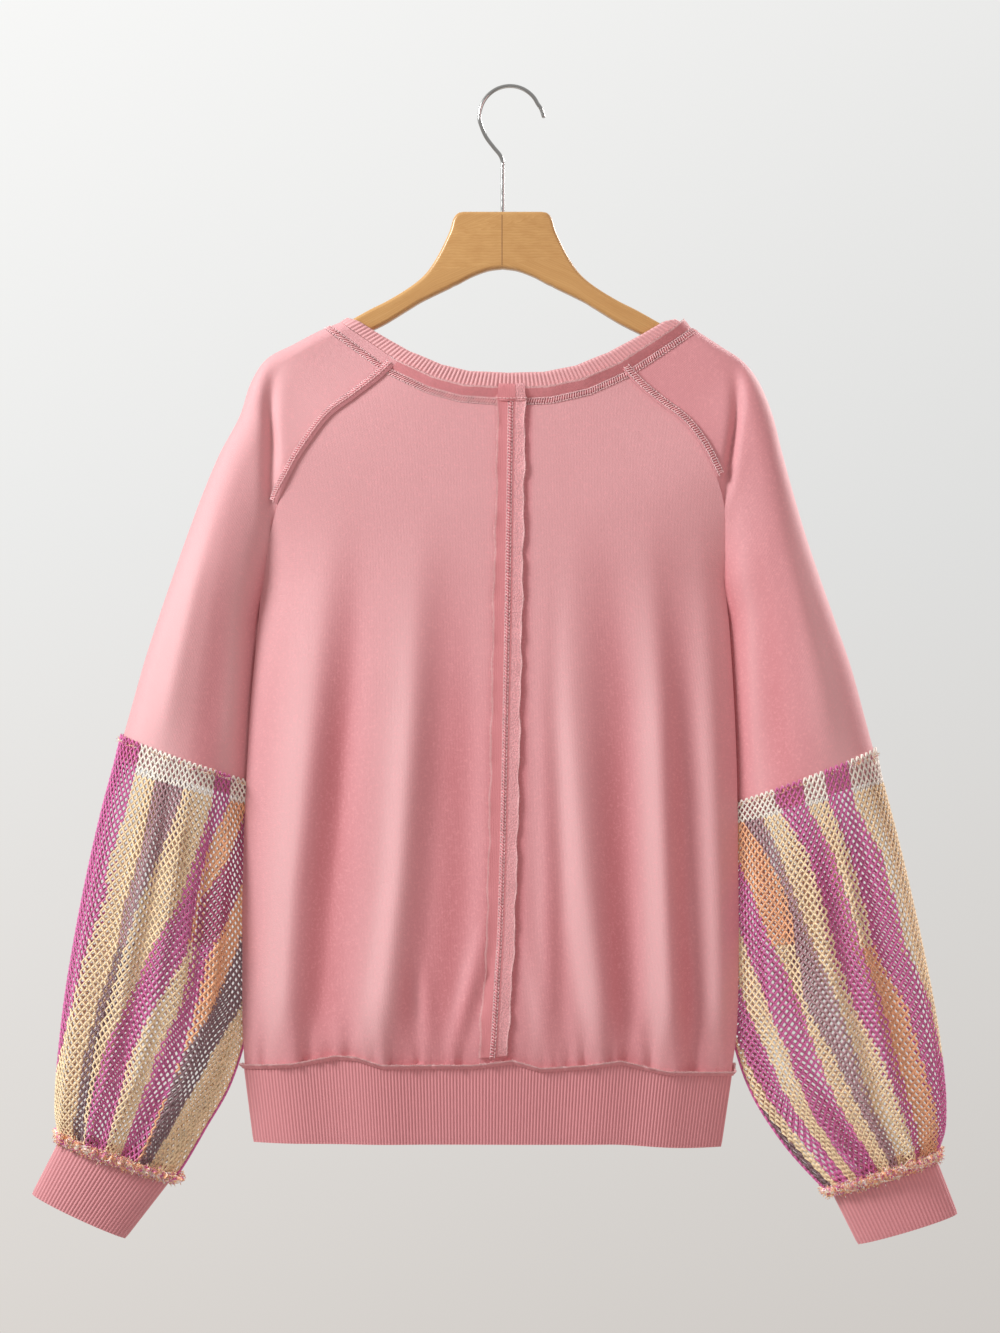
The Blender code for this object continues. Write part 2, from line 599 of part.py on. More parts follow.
def build_garment():
    back, front = body_grid(-1), body_grid(1)
    sleeves = {
        "left": sleeve_grid(LEFT_SLEEVE, *SLEEVE_STEPS),
        "right": sleeve_grid(RIGHT_SLEEVE, *SLEEVE_STEPS),
    }
    back_up, front_up = outward(back), outward(front)
    sleeve_up = {side: eased(outward(grid)) for side, grid in sleeves.items()}
    share_seam_normals(back_up, 0, sleeve_up["left"], 0)
    share_seam_normals(back_up, -1, sleeve_up["right"], 0)
    share_seam_normals(front_up, 0, sleeve_up["left"], -1)
    share_seam_normals(front_up, -1, sleeve_up["right"], -1)

    half_gap = SEAM_GAP / 2
    middle = BACK_HALF_COLUMNS + 1
    for side, columns in (("left", slice(0, middle + 1)), ("right", slice(middle, None))):
        cut = trimmed(back[:, columns], half_gap, half_gap, half_gap, half_gap)
        wall(f"back_{side}", cut, back_up[:, columns], FLEECE, "fleece")
    cut = trimmed(front, half_gap, half_gap, half_gap, half_gap)
    wall("front", cut, front_up, FLEECE, "fleece")
    for side, grid in sleeves.items():
        cut = trimmed(grid, half_gap, 0.0, half_gap, half_gap)
        wall(f"sleeve_{side}", cut, sleeve_up[side], FLEECE, "fleece")

    build_lower_sleeves()
    build_neck(back, front, sleeves, back_up, front_up, sleeve_up)
    build_hem(back, front, back_up, front_up)
    build_seam_strips(back, back_up, sleeves, sleeve_up)


def build_lower_sleeves():
    """Net, cuff and frayed frill of each arm, as closed tubes."""
    for side, net, cuff in (("left", LEFT_NET, LEFT_CUFF), ("right", RIGHT_NET, RIGHT_CUFF)):
        points = sleeve_grid(net, *NET_STEPS)
        normals = outward(points, True)
        points = gathered(points, normals, net)
        wall(f"net_{side}", trimmed(points, bottom=SEAM_GAP), normals, NET, "net", True)
        band = sleeve_grid(cuff, *NET_STEPS)
        up = outward(band, True)
        wall(f"cuff_{side}", trimmed(band, top=SEAM_GAP), up, RIB_KNIT, "rib", True)
        height = unit(band[0] - band[1])
        wave = FRILL_WAVE * np.where(np.arange(band.shape[1]) % 2, 1.0, -1.0)[:, None]
        lift = RIB_KNIT / 2 + LAY_GAP + EDGING / 2
        base = band[0] + up[0] * (lift + FRILL_ROOT_LIFT) - height * FRILL_ROOT_DOWN
        free = band[0] + up[0] * (lift + FRILL_FLARE + wave) + height * FRILL_HEIGHT
        frill = np.array([free, base])
        wall(f"cuff_frill_{side}", frill, outward(frill, True), EDGING, "raw_edge", True)


def neck_loop(row, back, front, sleeves):
    """One row of the four pieces round the neck: left shoulder, back, right shoulder, front."""
    fold = sleeves["left"].shape[1] // 2
    left, right = sleeves["left"][row], sleeves["right"][row]
    return np.concatenate(
        [
            left[fold:0:-1],
            back[row],
            right[1:-1],
            front[row][::-1],
            left[-2:fold:-1],
        ]
    )


def build_neck(back, front, sleeves, back_up, front_up, sleeve_up):
    edge = neck_loop(0, back, front, sleeves)
    below = neck_loop(1, back, front, sleeves)
    normals = neck_loop(0, back_up, front_up, sleeve_up)
    rise = unit(edge - below)
    at_side = smoothstep(NECK_SIDE_WIDE, NECK_SIDE_NARROW, np.abs(edge[:, 1]))[:, None]
    along_wood = np.zeros_like(edge)
    along_wood[:, 0] = -np.sign(edge[:, 0]) * HANGER_SLOPE_X
    along_wood[:, 2] = HANGER_SLOPE_Z
    rise = unit(rise * (1 - at_side) + along_wood * at_side)
    width = NECK_BAND_WIDTH + (NECK_BAND_WIDTH_AT_SIDE - NECK_BAND_WIDTH) * at_side
    band = np.array([edge + rise * width, edge + rise * (SEAM_GAP / 2)])
    up = unit(outward(band, True) + normals)
    up[-1] = normals
    wall("neck_band", band, up, RIB_KNIT, "rib", True)

    fold = sleeves["left"].shape[1] // 2
    start, end = fold, fold + back.shape[1] + fold - 3
    part = slice(start, end)
    lift = FLEECE / 2 + LAY_GAP + EDGING / 2
    above = edge[part] + rise[part] * NECK_EDGE_UP + normals[part] * (lift + NECK_EDGE_OUT)
    seam = edge[part] + normals[part] * (lift + NECK_SEAM_OUT)
    under = edge[part] + unit(below - edge)[part] * NECK_EDGE_DOWN + normals[part] * lift
    flap = np.array([above, seam, under])
    wall("neck_raw_edge", flap, np.broadcast_to(normals[part], flap.shape), EDGING, "raw_edge")


def build_hem(back, front, back_up, front_up):
    """The ribbed band round the hem, and the raw edge that stands out over its seam."""
    top = np.concatenate([back[-1], front[-1][::-1]])
    normals = np.concatenate([back_up[-1], front_up[-1][::-1]])
    left, right = top[:, 0].min(), top[:, 0].max()
    across = (top[:, 0] - left) / (right - left)
    bottom = top.copy()
    bottom[:, 0] = HEM_BOTTOM_LEFT + (HEM_BOTTOM_RIGHT - HEM_BOTTOM_LEFT) * across
    bottom[:, 2] = HEM_BOTTOM_Z - HEM_SAG_RIGHT * smoothstep(0.75, 0.95, across)
    start = top - [0, 0, SEAM_GAP * 0.75]
    band = np.array([start, bottom])
    outline = eased(unit(normals * [1, 1, 0])[None], 2, True)[0]
    wall("hem_band", band, np.broadcast_to(outline, band.shape), RIB_KNIT, "rib", True)

    wave = np.sin(np.arange(len(top)) * HEM_WAVE_STEP) * HEM_EDGE_WAVE
    reach = smoothstep(0.0, 0.05, np.minimum(across, 1 - across))
    lift = RIB_KNIT / 2 + LAY_GAP + EDGING / 2
    base = top + outline * lift - [0, 0, HEM_EDGE_DOWN]
    out = lift + HEM_EDGE_OUT + (HEM_EDGE_FLARE + wave) * reach
    free = top + outline * out[:, None] + [0, 0, HEM_EDGE_UP]
    ring = np.array([free, base])
    wall("hem_raw_edge", ring, np.broadcast_to(outline, ring.shape), EDGING, "raw_edge", True)


def build_seam_strips(back, back_up, sleeves, sleeve_up):
    """The strip down the centre back, and the flat seam on each sleeve beside its raglan."""
    middle = BACK_HALF_COLUMNS + 1
    columns = slice(middle - 1, middle + 2)
    last = len(back) - 1
    rows = [0.65, *range(1, last), last - 0.35]
    points, up = laid(back[:, columns], back_up[:, columns], rows, FLEECE)
    wall("centre_strip", points, up, EDGING, "raw_edge")
    for side, last in (("left", 6), ("right", 5)):
        grid = sleeves[side]
        rows = [0.6, *range(1, last + 1)]
        points, up = laid(grid[:, :2], sleeve_up[side][:, :2], rows, FLEECE)
        wall(f"raglan_strip_{side}", points, up, EDGING, "raw_edge")


def main():
    for old in list(bpy.data.objects):
        bpy.data.objects.remove(old, do_unlink=True)
    build_garment()
    hanger_wood()
    hanger_hook()


main()
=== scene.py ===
"""The looks of the patchwork top: its cloth, ribs, stitches, raw edges, net, hanger and studio.

Sizes are millimetres until a point goes into a mesh. The forms repeat the frame's: each cloth
piece is worked out from the same tables, more finely, with the small gathers added.
"""

import math

import bpy
import numpy as np
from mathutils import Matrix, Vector


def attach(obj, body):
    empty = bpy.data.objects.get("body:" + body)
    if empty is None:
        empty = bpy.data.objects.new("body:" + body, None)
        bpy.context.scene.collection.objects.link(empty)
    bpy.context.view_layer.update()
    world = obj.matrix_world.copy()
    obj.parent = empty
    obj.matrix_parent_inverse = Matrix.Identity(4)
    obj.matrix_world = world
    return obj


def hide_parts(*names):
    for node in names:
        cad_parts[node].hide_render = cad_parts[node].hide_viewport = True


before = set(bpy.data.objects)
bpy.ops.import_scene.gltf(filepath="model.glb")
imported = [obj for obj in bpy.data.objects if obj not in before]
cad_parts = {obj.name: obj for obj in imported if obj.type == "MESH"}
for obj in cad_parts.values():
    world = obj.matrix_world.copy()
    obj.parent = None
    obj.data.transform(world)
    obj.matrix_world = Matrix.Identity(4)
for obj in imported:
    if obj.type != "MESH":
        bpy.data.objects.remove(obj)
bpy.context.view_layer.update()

MM = 0.001
SEED = 7
rng = np.random.default_rng(SEED)

# Cloth, in mm.
FLEECE = 1.6
RIB_KNIT = 1.8
EDGING = 1.2
SEAM_GAP = 0.4
SEAM_SHOWS = 0.06  # what is left of the gap between panels that are sewn edge to edge
LAY_GAP = 0.5
SIDE_HALF = 1.0

# Body.
ARMPIT_ROW = 8
NECK_MID_BACK = -248.0
NECK_MID_FRONT = -283.0
STRIP_HALF = 10.5
BACK_HALF_COLUMNS = 60
FRONT_COLUMNS = 120
BODY_SQUARENESS = 3.5
BODY_EDGE = 0.7
TUCK_SHARE = 0.4  # how far the sleeve goes in behind the body, for each mm of its tuck
BODY_FINENESS = 7  # rows for each row of the tables
SLEEVE_FINENESS = 7
SLEEVE_STEPS = (34, 22)  # columns within and beyond the deepest place of each side
NET_FINENESS, NET_STEPS = 8, (60, 40)
CUFF_FINENESS, CUFF_STEPS = 2, (40, 30)

# Bands.
NECK_BAND_WIDTH = 13.0
NECK_BAND_WIDTH_AT_SIDE = 8.0
NECK_SIDE_NARROW, NECK_SIDE_WIDE = 4.0, 13.0
HANGER_SLOPE_X, HANGER_SLOPE_Z = 0.87, 0.50
HEM_BOTTOM_Z = -864.0
HEM_BOTTOM_LEFT, HEM_BOTTOM_RIGHT = -209.0, 172.0
HEM_SAG_RIGHT = 4.0
HEM_RIB_PITCH, NECK_RIB_PITCH, CUFF_RIB_PITCH = 2.7, 3.4, 3.2
RIB_HEIGHT = 0.45
RIB_SAMPLES = 4  # columns for each rib
BAND_ROWS, NECK_BAND_ROWS = 14, 8
RIB_EDGE_ROUNDING, RIB_SEAM_PINCH = 2.2, 3.0  # heights at the free edge and at the seam
HEM_OUTLINE_PASSES, HEM_NORMAL_PASSES = 40, 30  # how often the hem outline is eased

# Raw edges and loose fibres.
STRIP_STEPS, RAGLAN_STEPS = 260, 120
NECK_EDGE_STEPS, HEM_EDGE_STEPS, FRILL_STEPS = 420, 560, 300
FUZZ_LENGTH, FUZZ_THICKNESS = 1.5, 0.11
STRIP_FUZZ, NECK_FUZZ, HEM_FUZZ = 900, 1300, 2200  # fibres along each edge
FRAY_COUNT, FRAY_LENGTH, FRAY_THICKNESS = 420, 4.4, 0.42  # yarn ends on each ring of a frill
NET_END_COUNT, NET_END_LENGTH, NET_END_THICKNESS = 260, 5.0, 0.28
NET_SEAM_ROW, NET_SEAM_RADIUS = 30, 1.1  # where the net's own seam starts, and its cord
FIBRE_FACES = 8  # triangles in each half of a fibre

# Half the cloth below, the gap and half the edging: where a piece lies on fleece or on rib.
ON_FLEECE = FLEECE / 2 + LAY_GAP + EDGING / 2
ON_RIB = RIB_KNIT / 2 + LAY_GAP + EDGING / 2
STRIP_INSET = 0.30  # of a table row, at its top and bottom
STRIP_COLUMNS, STRIP_CURL = 19, 0.6
RAGLAN_INSET, RAGLAN_WIDTH, RAGLAN_COLUMNS = 0.25, 8.0, 9
NECK_SEWING_DOWN, NECK_SEWING_TOWARDS, NECK_SEWING_WIDTH = 11.2, 8.8, 4.8
STITCH_LENGTH = 2.0
# For each raglan seam: its last row, how round it stands, how far aside and how wide its
# sewing is, and the length of its cut in metres.
RAGLAN_SEAMS = {"left": (6, 1.2, 1.2, 3.6, 0.15), "right": (5, 0.1, 0.0, 4.6, 0.12)}

# Hanger.
STEM_X = -6.0
WIRE_RADIUS = 1.65
HOOK_RADIUS = 25.0
STEM_FOOT_Z = -120.0
HANGER_THICKNESS = 12.5
HANGER_ROUNDING = 3.2
HANGER_JOINT_X, HANGER_JOINT_TOP, HANGER_JOINT_FOOT = -6.6, -104.8, -146.2
HANGER_RINGS = 15  # outlines from its back face to its front face
HANGER_FINENESS = 5
HOOK_POINTS = 220
WIRE_SIDES = 20
WIRE_END = ((1.2, 0.35), (0.8, 0.75))  # the tip's rounding: how far ahead, and its size
HOOK_TURNS = (24, 196, 12)  # degrees of the crook: first, end and step
HOOK_TIP = ((27.6, -23.5), (25.6, -17.4))
HOOK_NECK = ((-20.0, -39.5), (-13.5, -48.5), (-8.2, -55.0), (STEM_X, -61.0), (STEM_X, -68.0))
GRAIN_JOIN, GRAIN_HEIGHTS = 60.0, (-135.0, -160.3)  # the grain's bend near the middle
GRAIN_APART, GRAIN_LEAN = -400.0, 0.6  # so that the two arms' grain differs


def table(columns, *rows):
    """One array for each named column."""
    return {name: np.array(values, float) for name, values in zip(columns.split(), zip(*rows))}


SLEEVE_COLUMNS = "seam_x seam_z half out_x out_z depth peak sharp drop groove_at groove tuck"
LEFT_SLEEVE = table(
    SLEEVE_COLUMNS,
    (-91, -226, 12.0, -139, -193.0, 9.0, 0.83, 0.5, 17, 0.90, 0.0, 0.0),
    (-106, -240, 12.5, -156, -200.0, 9.3, 0.84, 0.5, 12, 0.90, 0.0, 0.0),
    (-125, -255, 13.5, -177, -211.0, 9.6, 0.84, 0.5, 8, 0.90, 0.0, 0.0),
    (-146, -271, 15.0, -199, -223.0, 10.5, 0.82, 0.5, 4, 0.84, 1.5, 0.0),
    (-163, -293, 17.0, -212, -243.0, 14.0, 0.75, 0.5, 1, 0.66, 5.0, 0.0),
    (-176, -314, 17.5, -221, -270.0, 17.0, 0.62, 0.5, 0, 0.42, 8.0, 0.0),
    (-189, -342, 14.0, -237, -300.0, 20.0, 0.60, 0.5, 0, 0.14, 5.0, 0.0),
    (-198, -376, 7.0, -251, -333.0, 23.0, 0.58, 0.6, 0, 0.00, 0.0, 0.0),
    (-203, -408, 1.3, -264, -368.0, 25.0, 0.55, 0.8, 0, 0.00, 0.0, 0.0),
    (-208.5, -440, 1.0, -276, -402.0, 26.0, 0.54, 1.0, 0, 0.00, 0.0, 4.0),
    (-209.5, -476, 1.0, -288, -437.0, 26.5, 0.53, 1.1, 0, 0.00, 0.0, 7.0),
    (-210.9, -512, 1.0, -299, -471.0, 27.0, 0.52, 1.1, 0, 0.00, 0.0, 9.0),
    (-213.0, -548, 1.0, -310, -510.0, 27.5, 0.51, 1.1, 0, 0.00, 0.0, 9.5),
    (-215.5, -584, 1.0, -321, -549.0, 28.0, 0.50, 1.1, 0, 0.00, 0.0, 9.5),
)
RIGHT_SLEEVE = table(
    SLEEVE_COLUMNS,
    (88, -228, 12.0, 141, -194.0, 9.0, 0.84, 0.5, 17, 0.90, 0.0, 0.0),
    (103, -245, 12.5, 156, -202.0, 9.3, 0.84, 0.5, 12, 0.90, 0.0, 0.0),
    (122, -261, 13.5, 173, -213.0, 9.6, 0.84, 0.5, 8, 0.90, 0.0, 0.0),
    (141, -276, 15.0, 190, -224.5, 10.5, 0.82, 0.5, 4, 0.84, 1.5, 0.0),
    (157, -297, 17.0, 203, -241.0, 14.0, 0.75, 0.5, 1, 0.60, 5.0, 0.0),
    (168, -320, 17.0, 214, -267.0, 17.0, 0.62, 0.5, 0, 0.24, 7.0, 0.0),
    (175, -347, 13.0, 222, -298.0, 19.0, 0.60, 0.5, 0, 0.00, 0.0, 0.0),
    (176, -378, 7.0, 231, -331.0, 21.0, 0.58, 0.6, 0, 0.00, 0.0, 0.0),
    (176, -408, 1.3, 241, -365.0, 23.0, 0.55, 0.8, 0, 0.00, 0.0, 0.0),
    (181.5, -440, 1.0, 253, -401.0, 25.0, 0.54, 1.0, 0, 0.00, 0.0, 4.0),
    (181.7, -478, 1.0, 266, -438.0, 26.0, 0.53, 1.1, 0, 0.00, 0.0, 7.0),
    (182.0, -518, 1.0, 279, -476.0, 27.0, 0.52, 1.1, 0, 0.00, 0.0, 9.0),
    (183.6, -560, 1.0, 291, -520.0, 27.5, 0.51, 1.1, 0, 0.00, 0.0, 9.5),
    (184.8, -602, 1.0, 303, -565.0, 28.0, 0.50, 1.1, 0, 0.00, 0.0, 9.5),
)
NET_COLUMNS = "seam_x seam_z half out_x out_z depth peak sharp tuck"
LEFT_NET = table(
    NET_COLUMNS,
    (-212.9, -570, 2.9, -319.0, -530, 29.7, 0.50, 1.05, 9.8),
    (-213.8, -586, 2.9, -324.0, -552, 30.0, 0.50, 1.05, 9.8),
    (-215.0, -624, 3.0, -334.0, -589, 32.0, 0.50, 1.00, 9.8),
    (-215.8, -666, 3.2, -344.5, -634, 34.0, 0.50, 0.95, 9.8),
    (-216.2, -712, 3.4, -355.0, -686, 35.0, 0.50, 0.90, 9.8),
    (-219.5, -766, 3.6, -365.0, -746, 34.5, 0.50, 0.85, 9.5),
    (-233.0, -816, 3.6, -371.5, -805, 29.5, 0.50, 0.72, 7.2),
    (-253.0, -853, 3.6, -373.0, -838, 23.0, 0.50, 0.60, 5.0),
    (-270.5, -883, 3.6, -370.5, -855, 17.0, 0.50, 0.50, 3.0),
    (-279.5, -894, 3.6, -368.5, -863, 13.0, 0.50, 0.50, 2.0),
)
RIGHT_NET = table(
    NET_COLUMNS,
    (182.7, -588, 2.9, 300.0, -541, 29.7, 0.50, 1.05, 9.8),
    (183.1, -604, 2.9, 305.5, -568, 30.0, 0.50, 1.05, 9.8),
    (183.5, -642, 3.0, 316.0, -608, 32.0, 0.50, 1.00, 9.8),
    (183.9, -682, 3.2, 327.0, -653, 34.0, 0.50, 0.95, 9.8),
    (184.5, -728, 3.4, 338.5, -705, 35.0, 0.50, 0.90, 9.8),
    (187.5, -776, 3.6, 349.5, -762, 34.5, 0.50, 0.85, 9.5),
    (201.0, -822, 3.6, 356.5, -816, 29.5, 0.50, 0.72, 7.2),
    (225.0, -862, 3.6, 357.0, -851, 23.0, 0.50, 0.60, 5.0),
    (252.0, -893, 3.6, 352.0, -868, 17.0, 0.50, 0.50, 3.0),
    (266.0, -905, 3.6, 348.5, -878, 13.0, 0.50, 0.50, 2.0),
)
LEFT_CUFF = table(
    NET_COLUMNS,
    (-279.5, -894, 3.6, -368.5, -863, 13.0, 0.50, 0.50, 2.0),
    (-316.0, -942, 3.6, -391.0, -907, 12.0, 0.50, 0.50, 0.0),
)
RIGHT_CUFF = table(
    NET_COLUMNS,
    (266.0, -905, 3.6, 348.5, -878, 13.0, 0.50, 0.50, 2.0),
    (286.0, -947, 3.6, 366.0, -923, 12.0, 0.50, 0.50, 0.0),
)
BODY = table(
    "z left right depth",
    (-440, -206.0, 179.0, 21.0),
    (-475, -209.5, 181.5, 21.0),
    (-510, -212.5, 183.5, 20.5),
    (-545, -214.5, 185.0, 20.5),
    (-584, -216.5, 186.0, 20.0),
    (-625, -218.0, 186.5, 20.0),
    (-666, -219.0, 187.0, 20.0),
    (-707, -219.0, 187.0, 20.0),
    (-745, -219.0, 186.5, 19.5),
    (-777, -218.5, 185.0, 17.5),
    (-801, -217.0, 181.0, 14.0),
)
UPPER_BODY_DEPTH = np.array([15.0, 16.0, 17.0, 18.0, 19.0, 20.0, 20.5, 21.0, 21.0])
CENTRE_BACK = table("z x", (-248, 1.5), (-420, -1.0), (-600, -4.5), (-700, -7.5), (-801, -14.0))
NECK_LINE = table(
    "across fall",
    (0.0, 0.0),
    (0.16, 0.62),
    (0.30, 0.92),
    (0.50, 1.0),
    (0.68, 0.93),
    (0.84, 0.62),
    (1.0, 0.0),
)
HEM_LINE = table(
    "x rise",
    (-217, 0.0),
    (-178, 2.0),
    (-142, 9.0),
    (-124, 8.0),
    (-104, 1.5),
    (-30, 1.5),
    (2, 5.5),
    (26, -1.0),
    (63, 1.5),
    (90, 5.0),
    (128, -4.0),
    (181, -6.0),
)
FOLD_HEIGHTS_Z = np.array([-800.0, -650.0, -500.0, -350.0])
FOLDS = table(
    "x_low x_hip x_waist x_chest height width",
    (-193, -189, -172, -156, 5.0, 19),
    (-156, -147, -142, -128, -4.5, 18),
    (-111, -93, -88, -86, 5.5, 22),
    (-60, -46, -47, -50, -4.0, 24),
    (66, 53, 45, 41, 5.0, 20),
    (90, 87, 83, 70, -4.5, 15),
    (123, 121, 115, 100, 5.5, 17),
    (146, 139, 133, 127, -4.0, 14),
    (166, 162, 156, 148, 3.5, 13),
)
# Narrower creases beside those folds, on the same heights.
CREASES = table(
    "x_low x_hip x_waist x_chest height width",
    (-196, -183, -164, -152, 2.6, 9),
    (-172, -158, -140, -131, -3.2, 11),
    (-118, -99, -87, -80, 3.4, 9),
    (-92, -78, -68, -58, -3.6, 12),
    (-38, -30, -28, -30, 1.6, 10),
    (22, 22, 18, 22, 2.2, 7),
    (36, 34, 30, 32, -2.6, 9),
    (74, 52, 38, 32, 2.4, 10),
    (84, 76, 66, 58, -2.8, 12),
    (122, 117, 113, 104, 3.4, 8),
    (143, 133, 127, 115, -3.4, 10),
    (167, 163, 157, 148, 2.6, 8),
)
# Short slanting creases that meet the hem beside the strip.
HEM_CREASES = table(
    "x_low x_hip x_waist x_chest height width",
    (-48, -13, -13, -13, 3.2, 5.5),
    (-37, -2, -2, -2, -2.6, 7),
    (-62, -78, -78, -78, 2.2, 6),
    (-84, -66, -66, -66, -2.0, 7),
    (30, 10, 10, 10, 2.0, 6),
    (62, 46, 46, 46, -2.0, 7),
)
FOLD_START_Z, FOLD_FULL_Z, CREASE_FULL_Z = -330.0, -580.0, -690.0
FOLD_SHIFT = 9.0  # the folds and creases lie this far to the right of their tables' places
HEM_CREASE_START_Z, HEM_CREASE_FULL_Z = -670.0, -750.0
# Long soft folds of the sleeves: where they run between the outer fold and the seam.
SLEEVE_FOLDS = table(
    "at_top at_low height width",
    (0.24, 0.30, 2.8, 0.09),
    (0.52, 0.62, -2.6, 0.14),
    (0.78, 0.80, 1.2, 0.07),
    (0.90, 0.93, -2.0, 0.07),
)
SLEEVE_FOLD_START, SLEEVE_FOLD_FULL = 0.45, 0.9  # parts of the way from the neck to the net
FOLD_SIDE_FADE, GATHER_SIDE_FADE = 26.0, 12.0  # they die away this near the side edges
FOLD_FLAT_START_Z, FOLD_FLAT_Z, FOLD_FLAT_SHARE = -740.0, -800.0, 0.65  # flatter at the hem
GROOVE_WIDTH = 8.0  # of the sleeve's creases beside the raglan
PAINTED_LIGHT_HEIGHT = 6.0  # a fold of the body this high gets the full painted highlight, and a hollow this low the full painted shade
PAINTED_LIGHT_LEAN = 8.0  # the painted highlight sits this far left of each fold's top, on the flank lit by the key light from the left
# painted highlight over the upper body, where the light from above falls
UPPER_PAINTED_LIGHT = 0.6
# Painted light on the sleeves: the left sleeve, on the key light's side, painted paler; a sleeve
# fold this high gets the full painted highlight, moved this far across.
SLEEVE_PAINTED_LIGHT = {"left": 0.65, "right": 0.05}
SLEEVE_PAINTED_LIGHT_HEIGHT, SLEEVE_PAINTED_LIGHT_LEAN = 3.5, 0.05
STRIP_SHADE, STRIP_SHADE_AT, STRIP_SHADE_WIDTH = 1.3, 2.5, 3.5  # painted shade beside the strip: its strength, place and width
# painted shade low on each sleeve, beside the body
UNDERARM_SHADE = 1.8
FRONT_FOLD_SHARE = 0.8
BODY_MIRROR_X = -16.0
NECK_FLAP = ((-0.2, 2.3), (0.9, 1.8), (2.2, 1.2), (3.8, 0.5), (5.6, -0.4), (7.6, -1.4))
NECK_TAB = ((-3.2, 4.3), (-2.2, 5.0), (1.0, 4.9), (5.0, 4.0), (8.6, 3.4), (10.6, 2.9))
HEM_LIP = ((0.9, 2.6, 1.0), (0.3, 2.1, 0.8), (-0.5, 1.4, 0.5), (-1.4, 0.4, 0.2), (-2.8, -0.5, 0.0))
FRILL_RINGS = ((6.8, 3.6, 1.0), (5.6, 5.2, 1.2), (3.2, 5.4, 0.9), (0.6, 3.6, 0.5), (-1.8, 1.6, 0.1))

# The small gathers that the hem band pulls up: how high they reach, and their waves across.
GATHER_WAVES = table(
    "pitch height phase reach",
    (31, 1.3, 0.3, 80),
    (17.5, 1.0, 1.9, 55),
    (11.3, 0.8, 4.0, 30),
    (7.9, 0.5, 2.0, 18),
)

HANGER_EDGE = table(
    "reach upper lower",
    (0.0, -102.0, -148.5),
    (12.0, -102.0, -150.2),
    (25.0, -102.0, -155.0),
    (36.0, -102.0, -160.8),
    (40.5, -108.0, -162.8),
    (43.5, -118.0, -164.5),
    (51.5, -135.0, -168.3),
    (59.7, -148.4, -172.3),
    (67.9, -157.4, -176.5),
    (80.0, -166.3, -184.0),
    (95.0, -175.2, -193.2),
    (109.0, -182.2, -200.3),
    (123.7, -190.4, -207.5),
    (136.0, -197.2, -214.0),
    (150.0, -204.3, -221.5),
    (164.0, -211.8, -229.0),
    (174.0, -217.3, -234.0),
    (183.0, -222.5, -237.5),
)
HANGER_TOP_ROWS = 4  # rows of the upper edge that the rounded corner replaces
HANGER_CORNER = (
    (12.0, -102.0), (25.0, -102.0), (32.0, -102.0), (36.0, -102.7), (38.6, -104.8),
)
HANGER_END = (
    (187.2, -225.4), (190.0, -229.5), (190.6, -232.6), (189.3, -235.7), (186.6, -237.6),
)

# The net. A stripe's edges are given as parts of the way from the sleeve's outer fold to its
# underarm seam, at each height.
NET_CELLS_ROUND = 62
NET_ROWS = 90
NET_YARN = 1.32  # half the width of a strand at a knot
NET_FULL_STRAND = 4.6  # a shorter strand is thinner too
NET_OVERLAP = 0.3  # how far each strand runs on past its knots
NET_WAIST, NET_FLATNESS = 0.74, 0.55
NET_DENSE = 1.1  # how much thicker the cream and peach yarns are
NET_RING_SAMPLES = 4  # places for each cell round the sleeve
NET_PLEATS, NET_PLEAT_HEIGHT = 9, 1.6
NET_TURNED_ROWS = 6  # rows at the top that are turned out and show the yarns' paler side
STRIPE_COLOURS = {
    "magenta": (0.70, 0.145, 0.385),
    "plum": (0.50, 0.085, 0.20),
    "cream": (1.0, 0.76, 0.48),
    "peach": (0.97, 0.50, 0.27),
    "grey": (0.50, 0.28, 0.31),
    "slate": (0.28, 0.16, 0.18),
    "pale": (1.0, 0.92, 0.82),
}
STRIPE_CHANGE_Z = -700.0  # below here each stripe has the second name's colour
LEFT_STRIPES = (
    "magenta cream grey cream magenta peach plum peach slate peach",
    "magenta cream slate cream magenta cream magenta peach slate cream",
)
LEFT_STRIPE_EDGES = table(
    "z a b c d e f g h i",
    (-584, 0.19, 0.33, 0.54, 0.75, 0.86, 1.00, 1.10, 1.20, 1.30),
    (-625, 0.155, 0.33, 0.455, 0.68, 0.755, 0.89, 1.02, 1.10, 1.20),
    (-666, 0.156, 0.286, 0.37, 0.60, 0.71, 0.74, 0.935, 1.02, 1.10),
    (-707, 0.105, 0.27, 0.32, 0.46, 0.67, 0.705, 0.79, 0.945, 1.05),
    (-748, 0.076, 0.206, 0.265, 0.37, 0.53, 0.665, 0.75, 0.835, 1.00),
    (-789, 0.02, 0.17, 0.215, 0.28, 0.435, 0.576, 0.72, 0.725, 0.876),
    (-830, -0.02, 0.16, 0.22, 0.25, 0.41, 0.547, 0.69, 0.695, 0.82),
    (-871, -0.05, 0.14, 0.24, 0.26, 0.42, 0.54, 0.68, 0.70, 0.80),
)
RIGHT_STRIPES = (
    "cream magenta cream magenta cream grey peach magenta cream magenta cream slate",
    "cream magenta peach magenta cream grey cream magenta cream magenta cream slate",
)
